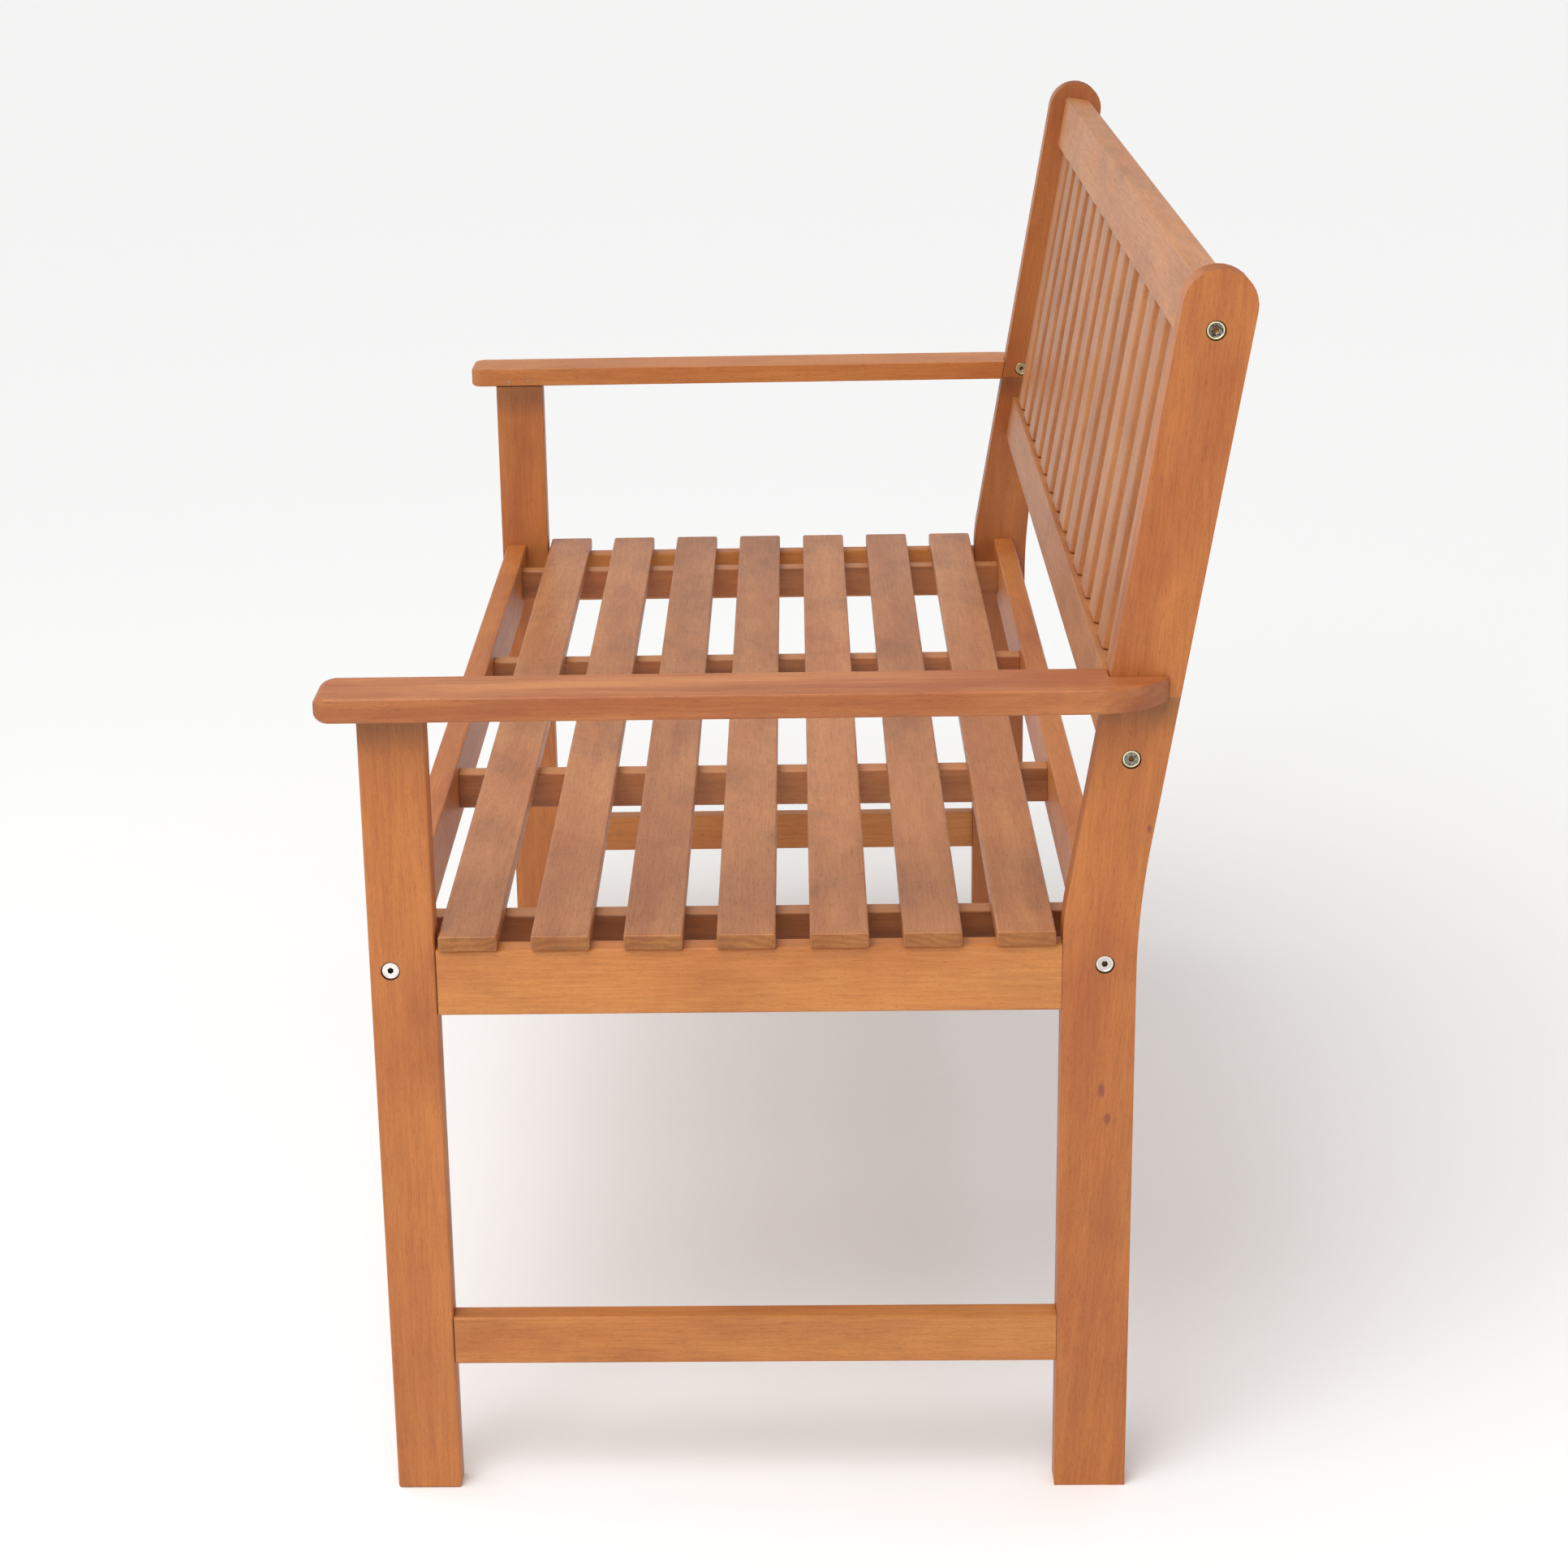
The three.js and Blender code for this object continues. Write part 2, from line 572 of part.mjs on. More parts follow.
for (const [sideName, side] of [['left', -1], ['right', 1]]) {
  addPiece(bench, `front_leg_${sideName}`, frontLeg(side), legWood);
  addPiece(bench, `back_leg_${sideName}`, backLeg(side), legWood);
  addPiece(bench, `side_rail_${sideName}`, sideBoard(side, SIDE_BOARDS.rail), railWood);
  addPiece(
    bench, `side_stretcher_${sideName}`, sideBoard(side, SIDE_BOARDS.stretcher), railWood,
  );
  addPiece(bench, `armrest_${sideName}`, armrest(side), armWood);

  const headFace = LEG_OUTER_X - HEAD_RECESS;
  for (const [rail, place] of Object.entries(SEAT_BOLTS)) {
    addBolt(`${rail}_rail_bolt_${sideName}`, side, 1, headFace, place, BOLT.length);
    const nut = addPiece(bench, `${rail}_rail_nut_${sideName}`, barrelNut(), nutZinc);
    nut.position.set(side * (RAIL_END_X - BARREL_NUT.inset), place.y, place.z);
  }
  for (const [rail, place] of Object.entries(BACK_BOLTS)) {
    addBolt(`back_${rail}_bolt_${sideName}`, side, 1, headFace, place, BOLT.length);
  }
  for (const [rail, middle] of [['bottom', bottomRailMiddle], ['top', topRailMiddle]]) {
    const nut = addPiece(backrest, `back_${rail}_nut_${sideName}`, barrelNut(), nutZinc);
    nut.position.set(
      side * (RAIL_END_X - BARREL_NUT.inset), BACK_RAIL_MIDDLE, middle - BACK_BOLT_DROP,
    );
  }
  addBolt(
    `arm_bolt_${sideName}`, side, -1, LEG_INNER_X + HEAD_RECESS, ARM_BOLT_PLACE,
    ARM_BOLT_LENGTH - BOLT.headHeight,
  );
  const insert = addPiece(bench, `arm_insert_nut_${sideName}`, insertNut(), nutZinc);
  insert.position.set(
    side * (LEG_OUTER_X + 2 * GAP + INSERT_NUT.length / 2),
    ARM_BOLT_PLACE.y, ARM_BOLT_PLACE.z,
  );
}

addPiece(bench, 'front_seat_rail', longRail(FRONT_RAIL_Y, FRONT_RAIL_INNER_Y), railWood);
addPiece(bench, 'rear_seat_rail', longRail(REAR_RAIL_Y, REAR_RAIL_Y), railWood);
for (let i = 0; i < BEARER_COUNT; i += 1) {
  addPiece(bench, `seat_bearer_${i + 1}`, seatBearer(i), railWood);
}
for (let i = 0; i < SEAT_SLAT_COUNT; i += 1) {
  const slat = addPiece(bench, `seat_slat_${i + 1}`, seatSlat(), seatWood);
  slat.position.y = FIRST_SLAT_Y + i * SEAT_SLAT_PITCH;
}

addPiece(
  backrest, 'backrest_bottom_rail',
  backRail(
    BOTTOM_RAIL_FROM, BOTTOM_RAIL_HEIGHT, [SLAT_FOOT - SLAT_TENON_LENGTH, SLAT_FOOT + 1],
  ),
  railWood,
);
addPiece(
  backrest, 'backrest_top_rail',
  backRail(
    TOP_RAIL_FROM, TOP_RAIL_HEIGHT, [TOP_RAIL_FROM - 1, TOP_RAIL_FROM + SLAT_TENON_LENGTH],
  ),
  railWood,
);
for (let i = 0; i < BACK_SLAT_COUNT; i += 1) {
  const number = String(i + 1).padStart(2, '0');
  addPiece(backrest, `back_slat_${number}`, backSlat(i), backWood);
}

bench.position.y = -(ARM_FRONT_Y + REARMOST_Y) / 2;

export default bench;
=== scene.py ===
# %% [markdown]
# # A slatted hardwood garden bench
#
# This lesson dresses a bolted two-seat bench. The boards already have their true sizes in
# the imported frame, so nothing here moves or resizes them. Instead each board is given the
# things that make wood look like wood: eased edges that catch the light, grain that runs
# the length of the board, end grain where it is cut across, and bright furniture bolts.
#
# The frame is loaded first, and its size is kept.

# %% Load the frame
import math
import zlib

import bmesh
import bpy
from mathutils import Matrix, Vector
from mathutils.bvhtree import BVHTree


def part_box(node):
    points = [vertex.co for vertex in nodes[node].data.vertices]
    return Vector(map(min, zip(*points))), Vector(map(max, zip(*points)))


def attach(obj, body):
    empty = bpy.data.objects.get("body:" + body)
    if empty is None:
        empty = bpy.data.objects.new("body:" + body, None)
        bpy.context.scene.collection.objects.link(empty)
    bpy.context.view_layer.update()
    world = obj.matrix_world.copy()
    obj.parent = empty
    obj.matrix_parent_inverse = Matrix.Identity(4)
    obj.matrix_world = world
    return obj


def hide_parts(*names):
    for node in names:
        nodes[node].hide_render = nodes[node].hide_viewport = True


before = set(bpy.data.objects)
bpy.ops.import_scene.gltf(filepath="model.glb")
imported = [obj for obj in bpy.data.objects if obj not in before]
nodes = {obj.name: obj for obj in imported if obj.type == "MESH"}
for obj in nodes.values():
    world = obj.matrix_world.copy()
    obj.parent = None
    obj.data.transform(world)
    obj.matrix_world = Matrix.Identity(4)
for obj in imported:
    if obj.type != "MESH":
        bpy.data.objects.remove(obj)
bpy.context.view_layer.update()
BODY = "root"


# %% [markdown]
# ## The camera
#
# The bench is seen from its right-hand end, from a little above the armrest. A long lens
# keeps the near and far legs at nearly the same size. The camera is turned by its own
# yaw, pitch and roll, which are easier to read than a rotation matrix, and the small shift
# slides the picture sideways without turning the camera.

# %% Camera
CAMERA_PLACE = Vector((2.6491, 0.0137, 1.2323))
CAMERA_YAW = math.radians(1.942)
CAMERA_PITCH = math.radians(18.366)
CAMERA_ROLL = math.radians(-1.259)
LENS_MM = 73.87
SENSOR_MM = 36.0
CAMERA_SHIFT = (0.0552, 0.0029)


def camera_turn(yaw, pitch, roll):
    """The rotation of a camera that looks towards -X, turned left by yaw and down by pitch."""
    forward = Vector((
        -math.cos(pitch) * math.cos(yaw), -math.cos(pitch) * math.sin(yaw), -math.sin(pitch),
    ))
    level_right = Vector((-math.sin(yaw), math.cos(yaw), 0.0))
    level_up = level_right.cross(forward)
    right = level_right * math.cos(roll) + level_up * math.sin(roll)
    up = level_up * math.cos(roll) - level_right * math.sin(roll)
    return Matrix((right, up, -forward)).transposed().to_4x4()


lens = bpy.data.cameras.new("bench_camera")
lens.lens = LENS_MM
lens.sensor_width = SENSOR_MM
lens.shift_x, lens.shift_y = CAMERA_SHIFT
lens.clip_end = 200.0
camera = bpy.data.objects.new("bench_camera", lens)
camera.matrix_world = Matrix.Translation(CAMERA_PLACE) @ camera_turn(
    CAMERA_YAW, CAMERA_PITCH, CAMERA_ROLL
)
bpy.context.scene.collection.objects.link(camera)
bpy.context.scene.camera = camera
print("camera stands at", tuple(round(part, 3) for part in CAMERA_PLACE))


# %% [markdown]
# ## Floor and light
#
# A plain studio: a pale floor, broad daylight from above, a soft panel over the
# near end, and a surrounding that brightens towards the horizon, which gives the tops of
# the slats their sheen. The daylight is a sun lamp with a very wide angle, which
# lights the floor evenly out to the horizon and still gives soft shadows under the seat.
# The panel is nearer to one end of the bench, so the light falls off along the slats. The
# Standard view keeps the oiled colour of the wood as it is mixed, where a filmic view
# would grey it.

# %% Floor
bpy.context.scene.view_settings.view_transform = "Standard"
bpy.context.scene.view_settings.look = "None"

FLOOR_HALF_SIZE = 40.0
FLOOR_COLOUR = (0.93, 0.93, 0.925, 1.0)
FLOOR_ROUGHNESS = 0.9
FLOOR_SHINE = 0.1


def make_floor():
    mesh = bpy.data.meshes.new("studio_floor")
    half = FLOOR_HALF_SIZE
    corners = [(-half, -half, 0), (half, -half, 0), (half, half, 0), (-half, half, 0)]
    mesh.from_pydata(corners, [], [(0, 1, 2, 3)])
    floor = bpy.data.objects.new("studio_floor", mesh)
    bpy.context.scene.collection.objects.link(floor)
    paint = bpy.data.materials.new("studio_floor_paint")
    paint.use_nodes = True
    shader = paint.node_tree.nodes["Principled BSDF"]
    shader.inputs["Base Color"].default_value = FLOOR_COLOUR
    shader.inputs["Roughness"].default_value = FLOOR_ROUGHNESS
    shader.inputs["Specular IOR Level"].default_value = FLOOR_SHINE
    mesh.materials.append(paint)


# %% Lamps
def panel(name, place, aim, size, watts):
    """A square soft light at place, facing aim."""
    light = bpy.data.lights.new(name, "AREA")
    light.shape = "SQUARE"
    light.size = size
    light.energy = watts
    lamp = bpy.data.objects.new(name, light)
    lamp.location = place
    lamp.rotation_euler = (Vector(aim) - Vector(place)).to_track_quat("-Z", "Y").to_euler()
    bpy.context.scene.collection.objects.link(lamp)


def daylight(name, direction, strength, angle):
    """A sun lamp that shines from direction, spread over angle so that shadows are soft."""
    light = bpy.data.lights.new(name, "SUN")
    light.energy = strength
    light.angle = math.radians(angle)
    lamp = bpy.data.objects.new(name, light)
    lamp.rotation_euler = Vector(direction).to_track_quat("Z", "Y").to_euler()
    bpy.context.scene.collection.objects.link(lamp)


# %% Light the studio
make_floor()
daylight("daylight_above", direction=(0.25, -0.35, 1.0), strength=1.50, angle=70.0)
panel("panel_near_end", place=(1.7, -0.6, 2.2), aim=(0.3, 0.0, 0.4), size=1.2, watts=21.0)

HORIZON_LIGHT = 1.0
ZENITH_LIGHT = 0.5
FADE_HEIGHT = 0.5
world = bpy.data.worlds.new("studio_surround")
world.use_nodes = True
sky = world.node_tree
direction = sky.nodes.new("ShaderNodeTexCoord")
height = sky.nodes.new("ShaderNodeSeparateXYZ")
fade = sky.nodes.new("ShaderNodeMapRange")
fade.interpolation_type = "SMOOTHSTEP"
fade.inputs["From Max"].default_value = FADE_HEIGHT
fade.inputs["To Min"].default_value = HORIZON_LIGHT
fade.inputs["To Max"].default_value = ZENITH_LIGHT
surround = sky.nodes["Background"]
surround.inputs["Color"].default_value = (1.0, 1.0, 1.0, 1.0)
sky.links.new(direction.outputs["Generated"], height.inputs[0])
sky.links.new(height.outputs["Z"], fade.inputs["Value"])
sky.links.new(fade.outputs["Result"], surround.inputs["Strength"])
bpy.context.scene.world = world
print("floor is", 2 * FLOOR_HALF_SIZE, "m wide; surround fades from", HORIZON_LIGHT, "to", ZENITH_LIGHT)


# %% [markdown]
# ## Writing shader maths as arithmetic
#
# A node tree for wood has dozens of small sums in it. Wrapping a socket in a class with
# the usual operators lets those sums be written the way they are read, and each operator
# adds one Math node. Finish.node makes every other node, with its settings set first and
# its sockets filled afterwards with numbers or links.

# %% Shader helpers
class Wire:
    """The output of a node, which adds Math nodes when it is used in a sum."""

    def __init__(self, finish, socket):
        self.finish = finish
        self.socket = socket

    def maths(self, operation, first, second):
        return self.finish.node("ShaderNodeMath", {"operation": operation}, {0: first, 1: second})

    def __add__(self, other):
        return self.maths("ADD", self, other)

    def __sub__(self, other):
        return self.maths("SUBTRACT", self, other)

    def __rsub__(self, other):
        return self.maths("SUBTRACT", other, self)

    def __mul__(self, other):
        return self.maths("MULTIPLY", self, other)

    def __pow__(self, other):
        return self.maths("POWER", self, other)

    __radd__ = __add__
    __rmul__ = __mul__


class Finish:
    """One material under construction."""

    def __init__(self, name):
        self.material = bpy.data.materials.new(name)
        self.material.use_nodes = True
        self.tree = self.material.node_tree
        self.shader = self.tree.nodes["Principled BSDF"]

    def connect(self, value, socket):
        if isinstance(value, Wire):
            self.tree.links.new(value.socket, socket)
        else:
            socket.default_value = value

    def node(self, kind, settings, sockets, output=0):
        made = self.tree.nodes.new(kind)
        for name, value in settings.items():
            setattr(made, name, value)
        for key, value in sockets.items():
            self.connect(value, made.inputs[key])
        return Wire(self, made.outputs[output])

    def set(self, **sockets):
        """Fill sockets of the shader; base_color stands for Base Color."""
        for key, value in sockets.items():
            self.connect(value, self.shader.inputs[key.replace("_", " ").title()])

    def vector(self, operation, first, second):
        return self.node("ShaderNodeVectorMath", {"operation": operation}, {0: first, 1: second})

    def noise(self, where, scale, detail=2.0, roughness=0.5):
        return self.node(
            "ShaderNodeTexNoise", {"noise_dimensions": "3D"},
            {"Vector": where, "Scale": scale, "Detail": detail, "Roughness": roughness},
        )

    def grained_noise(self, where, stretch, detail, roughness):
        """Noise squeezed by stretch, which holds how often it repeats along each axis."""
        return self.noise(self.vector("MULTIPLY", where, stretch), 1.0, detail, roughness)

    def ramp(self, value, low, high):
        """0 below low, 1 above high and smooth between."""
        return self.node(
            "ShaderNodeMapRange", {"interpolation_type": "SMOOTHSTEP"},
            {"Value": value, "From Min": low, "From Max": high},
        )

    def mix(self, amount, first, second, blend="MIX"):
        """first where amount is 0 and second where it is 1, as colours."""
        made = self.tree.nodes.new("ShaderNodeMix")
        made.data_type = "RGBA"
        made.blend_type = blend
        made.clamp_factor = True
        self.connect(amount, made.inputs[0])
        self.connect(first, made.inputs[6])
        self.connect(second, made.inputs[7])
        return Wire(self, made.outputs[2])


# %% [markdown]
# ## Oiled hardwood
#
# Every board is cut from the same reddish tropical hardwood. Its look comes from layers:
# faint growth rings round a pith that lies outside the board, short dark pores that run
# along the grain, broad streaks of lighter and redder wood, and a blotchy oil finish.
# Where a board is cut across, the rings show as arcs and the colour turns olive brown.
#
# The pattern could be painted on each face, but a solid pattern is simpler: it is worked
# out from the place inside the board, so the grain runs on round the edges by itself. The
# pattern is turned so that its first axis follows the grain. Each board also carries a
# number of its own, called board, which moves the pattern and shifts the tone, so that no
# two boards match.

# %% Grain directions and layers
GRAIN_ALONG_X = (0.0, 0.0, 0.0)
GRAIN_ALONG_Y = (0.0, 0.0, -math.pi / 2)
BACK_RAKE = math.radians(9.44)
LEG_GRAIN_LEAN = BACK_RAKE / 2


# How often each layer's noise repeats per metre: along the grain, then across it twice
STREAKS = (2.2, 34.0, 34.0)
FINE_GRAIN = (30.0, 560.0, 560.0)
RING_WANDER = (4.0, 16.0, 16.0)
WIDE_PORES = (120.0, 1500.0, 1500.0)
THIN_PORES = (330.0, 3000.0, 3000.0)
WARM_CLOUDS = (7.0, 15.0, 15.0)
DULL_CLOUDS = (11.0, 17.0, 17.0)
DULL_SHIFT = (3.1, 1.7, 4.3)

# How far a board's number moves the pattern, and where the pith lies
BOARD_MOVES = (9.7, 5.3, 7.9)
PITH_SIDE = (0.05, 0.11)
PITH_DEEP = (0.9, 0.4)
RING_WANDER_REACH = 0.03
RING_DENSITY = 1250.0

# What each layer multiplies the colour by where it is strongest
DULL_TINT = (0.62, 0.66, 0.82)
RING_TINT = (0.55, 0.42, 0.34)
FINE_TINT = (0.58, 0.46, 0.38)
PORE_TINT = (0.34, 0.26, 0.22)
# The band under the armrests: painted shade, with some dust
SHADE_AND_DUST_TINT = (0.64, 0.70, 0.82)
END_RING_TINT = (0.66, 0.62, 0.52)
END_GRAIN_TINT = (0.84, 0.78, 0.54)
HOLE_SHADE_TINT = (0.22, 0.16, 0.12)
DARK_BOARD_TINT = (0.80, 0.76, 0.72)
LIGHT_BOARD_TINT = (1.20, 1.24, 1.28)
KNOT_COLOUR = (0.26, 0.058, 0.030)

RELIEF_DEPTH = 0.0005
RELIEF_STRENGTH = 0.25


def grain_upright(lean):
    """The turn that lays an upright grain, leaning back by lean, along the first axis."""
    return (lean, math.pi / 2, 0.0)


def rgb(red, green, blue):
    return (red, green, blue, 1.0)


WHITE = rgb(1.0, 1.0, 1.0)


# %% Wood recipe
def wood(
    name, grain, light, dark, red,
    knots=(), pore_depth=1.0, clouds=0.22, gloss=0.4, under_arm=None, painted_top_light=0.0,
):
    """A hardwood finish. light, dark and red are the colours that its layers mix between."""
    finish = Finish(name)
    board = finish.node("ShaderNodeAttribute", {"attribute_name": "board"}, {}, "Fac")
    tone = finish.node("ShaderNodeAttribute", {"attribute_name": "tone"}, {}, "Fac")
    hole_shade_amount = finish.node("ShaderNodeAttribute", {"attribute_name": "hole_shade"}, {}, "Fac")
    place = finish.node("ShaderNodeTexCoord", {}, {}, "Object")
    turned = finish.node(
        "ShaderNodeMapping", {"vector_type": "POINT"}, {"Vector": place, "Rotation": grain},
    )
    moves = finish.node(
        "ShaderNodeCombineXYZ", {},
        {axis: board * reach for axis, reach in enumerate(BOARD_MOVES)},
    )
    solid = finish.vector("ADD", turned, moves)

    # Streaks: noise that is stretched along the grain
    streaks = finish.grained_noise(solid, STREAKS, 3.0, 0.6)
    fine = finish.grained_noise(solid, FINE_GRAIN, 3.0, 0.7)

    # Growth rings: distance from a pith well outside the board, bent by slow noise
    wander = finish.grained_noise(solid, RING_WANDER, 3.0, 0.55)
    apart = finish.node("ShaderNodeSeparateXYZ", {}, {0: turned}, "Y")
    deep = finish.node("ShaderNodeSeparateXYZ", {}, {0: turned}, "Z")
    pith_side = apart + PITH_SIDE[0] + board * PITH_SIDE[1]
    pith_deep = deep + PITH_DEEP[0] + board * PITH_DEEP[1]
    pith_distance = (pith_side * pith_side + pith_deep * pith_deep) ** 0.5
    ring_phase = (pith_distance + wander * RING_WANDER_REACH) * RING_DENSITY
    rings = finish.node("ShaderNodeMath", {"operation": "SINE"}, {0: ring_phase}) * 0.5 + 0.5

    # Pores: short dark dashes along the grain, in two sizes
    wide_pores = finish.grained_noise(solid, WIDE_PORES, 1.0, 0.5)
    thin_pores = finish.grained_noise(solid, THIN_PORES, 1.0, 0.5)
    pores = finish.ramp(wide_pores, 0.60, 0.76) * 0.5 + finish.ramp(thin_pores, 0.56, 0.74) * 0.5

    # Clouds left by the oil, warm in one place and dull in another
    warm = finish.grained_noise(solid, WARM_CLOUDS, 3.0, 0.6)
    dull_place = finish.vector("ADD", solid, DULL_SHIFT)
    dull = finish.grained_noise(dull_place, DULL_CLOUDS, 4.0, 0.65)

    # How squarely the surface faces along the grain: 1 on end grain
    facing = finish.node("ShaderNodeTexCoord", {}, {}, "Normal")
    facing_turned = finish.node(
        "ShaderNodeMapping", {"vector_type": "VECTOR"}, {"Vector": facing, "Rotation": grain},
    )
    along = finish.node("ShaderNodeSeparateXYZ", {}, {0: facing_turned}, "X")
    end_grain = finish.ramp(along * along, 0.55, 0.85)

    def shade(colour, amount, deepest):
        """Multiply colour by deepest as far as amount says."""
        tint = finish.mix(amount, WHITE, rgb(*deepest))
        return finish.mix(1.0, colour, tint, "MULTIPLY")

    colour = finish.mix(finish.ramp(streaks, 0.32, 0.70), rgb(*light), rgb(*dark))
    colour = finish.mix(finish.ramp(warm, 0.45, 0.72) * 0.6, colour, rgb(*red))
    colour = shade(colour, finish.ramp(dull, 0.44, 0.70) * clouds, DULL_TINT)
    colour = shade(colour, rings * 0.075, RING_TINT)
    colour = shade(colour, finish.ramp(fine, 0.40, 0.66) * 0.28, FINE_TINT)
    colour = shade(colour, pores * 0.62 * pore_depth, PORE_TINT)
    # A board's tone makes it lighter or darker; for two boards it is painted shade
    tone_tint = finish.mix(tone, rgb(*DARK_BOARD_TINT), rgb(*LIGHT_BOARD_TINT))
    colour = finish.mix(1.0, colour, tone_tint, "MULTIPLY")

    for knot in knots:
        colour = finish.mix(knot_mask(finish, place, *knot), colour, rgb(*KNOT_COLOUR))
    # Painted shade under the armrest, partly dust: a band of the leg just below the arm is darkened.
    if under_arm is not None:
        band_start, band_end = under_arm
        height = finish.node("ShaderNodeSeparateXYZ", {}, {0: place}, "Z")
        shade_and_dust = finish.ramp(height + dull * 0.012, band_start - 0.012, band_start + 0.014)
        shade_and_dust = shade_and_dust * (1.0 - finish.ramp(height, band_end, band_end + 0.002))
        colour = shade(colour, shade_and_dust, SHADE_AND_DUST_TINT)
    # Painted highlight: faces that look upward are mixed towards a paler rose, as if lit from above.
    if painted_top_light:
        upward = finish.node("ShaderNodeSeparateXYZ", {}, {0: facing}, "Z")
        colour = finish.mix(finish.ramp(upward, 0.5, 0.9) * painted_top_light, colour, rgb(*ROSE_LIGHT))

    end_colour = shade(colour, rings * 0.5 + pores * 0.3, END_RING_TINT)
    end_colour = shade(end_colour, 1.0, END_GRAIN_TINT)
    colour = finish.mix(end_grain, colour, end_colour)
    # Painted shade: the inner walls of bores, counterbores and mortises are darkened
    colour = shade(colour, hole_shade_amount, HOLE_SHADE_TINT)

    rough = gloss + fine * 0.12 + pores * 0.15 + end_grain * 0.2 + dull * 0.1 - streaks * 0.08
    relief = (rings * 0.2 - pores * pore_depth) * 0.5 + fine * 0.5
    bump = finish.node(
        "ShaderNodeBump", {},
        {"Strength": RELIEF_STRENGTH, "Distance": RELIEF_DEPTH, "Height": relief},
    )
    finish.set(base_color=colour, roughness=rough, normal=bump)
    return finish.material


# %% Knots
def knot_mask(finish, place, centre, width, height, side):
    """A small almond of dark wood round centre, only on the half of the bench at side."""
    offset = finish.vector("SUBTRACT", place, centre)
    reach = finish.vector("DIVIDE", offset, (1.0, width, height))
    across = finish.node("ShaderNodeSeparateXYZ", {}, {0: reach}, "Y")
    upright = finish.node("ShaderNodeSeparateXYZ", {}, {0: reach}, "Z")
    ragged = finish.noise(place, 420.0, 2.0, 0.6) * 1.2
    spread = across * across + upright * upright + ragged
    towards_side = finish.node("ShaderNodeSeparateXYZ", {}, {0: place}, "X") * side
    return (1.0 - finish.ramp(spread, 0.7, 1.9)) * finish.ramp(towards_side, 0.0, 0.1) * 0.9


# %% [markdown]
# ## The bench's own wood finishes
#
# One recipe gives every board here, with other colours and another direction of the grain.
# The legs and rails are honey coloured, the slats are rosier and the bearers under them are
# darker wood, darkened further as painted shade under the seat. Three small knots sit on the
# right back leg. Where a leg meets its armrest a band of painted shade, partly dust, darkens
# it, and the bearers' tops are painted paler, a painted highlight from the light above.
#
# A knot is given as its middle, its half width, its half height and its side of the bench.

# %% Wood finishes
KNOTS = (
    ((0.0, 0.2219, 0.3147), 0.0028, 0.0060, 1.0),
    ((0.0, 0.2263, 0.2923), 0.0026, 0.0048, 1.0),
    ((0.0, 0.2509, 0.5084), 0.0016, 0.0032, 1.0),
)
HONEY = (0.54, 0.180, 0.038)
AMBER = (0.43, 0.127, 0.025)
RUSSET = (0.38, 0.092, 0.018)
PALE_HONEY = (0.60, 0.232, 0.053)
ROSE_LIGHT = (0.51, 0.212, 0.075)
ROSE_DARK = (0.42, 0.152, 0.046)
ROSE_RED = (0.40, 0.128, 0.038)
ARM_LIGHT = (0.58, 0.222, 0.066)
ARM_DARK = (0.37, 0.105, 0.024)
ARM_RED = (0.34, 0.078, 0.016)
# The bearers' colours are darker wood, darkened further as painted shade under the seat
SHADED_BEARER_LIGHT = (0.40, 0.145, 0.042)
SHADED_BEARER_DARK = (0.18, 0.056, 0.013)
ARM_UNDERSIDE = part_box("armrest_right")[0].z
# Bands of painted shade, with some dust, on the legs under the armrests
FRONT_LEG_BAND = (ARM_UNDERSIDE - 0.017, 1.0)
BACK_LEG_BAND = (ARM_UNDERSIDE - 0.010, ARM_UNDERSIDE + 0.001)

woods = {
    "front_leg": wood(
        "front_leg_wood", grain_upright(0.0), HONEY, AMBER, RUSSET,
        under_arm=FRONT_LEG_BAND,
    ),
    "back_leg": wood(
        "back_leg_wood", grain_upright(LEG_GRAIN_LEAN), HONEY, AMBER, RUSSET, KNOTS,
        under_arm=BACK_LEG_BAND,
    ),
    "side": wood("side_rail_wood", GRAIN_ALONG_Y, PALE_HONEY, HONEY, AMBER),
    # The bearers' tops get a painted highlight.
    "bearer": wood(
        "bearer_wood", GRAIN_ALONG_Y, SHADED_BEARER_LIGHT, SHADED_BEARER_DARK, RUSSET, painted_top_light=0.8,
    ),
    "long_rail": wood("long_rail_wood", GRAIN_ALONG_X, HONEY, AMBER, RUSSET),
    "back_rail": wood(
        "back_rail_wood", GRAIN_ALONG_X, ROSE_LIGHT, ROSE_DARK, HONEY, clouds=0.5,
    ),
    "arm": wood("arm_wood", GRAIN_ALONG_Y, ARM_LIGHT, ARM_DARK, ARM_RED),
    "seat_slat": wood(
        "seat_slat_wood", GRAIN_ALONG_X, ROSE_LIGHT, ROSE_DARK, ROSE_RED,
        pore_depth=1.5, clouds=0.5, gloss=0.34,
    ),
    "back_slat": wood(
        "back_slat_wood", grain_upright(BACK_RAKE), ROSE_LIGHT, ROSE_DARK, ROSE_RED,
        clouds=0.45, gloss=0.36,
    ),
}
print("mixed", len(woods), "wood finishes")


# %% [markdown]
# ## Boards cut from the frame
#
# The legs, rails, bearers and armrests take their outlines from the frame, which already
# holds their bends, counterbores and tenons. The frame's meshes are loose triangles, so a
# copy is merged and its flat faces are joined again. Then the outer edges get a weight,
# and a Bevel modifier rounds them by that weight: the joiner eases the long edges and
# leaves the shoulders square, where one board meets another. Holes keep crisp rims.
#
# A face is on the outside when a ray sent straight out from it meets nothing of the same
# board, which tells the outer faces from the walls of holes and mortises. Those inner walls
# are darkened in the wood as painted shade.

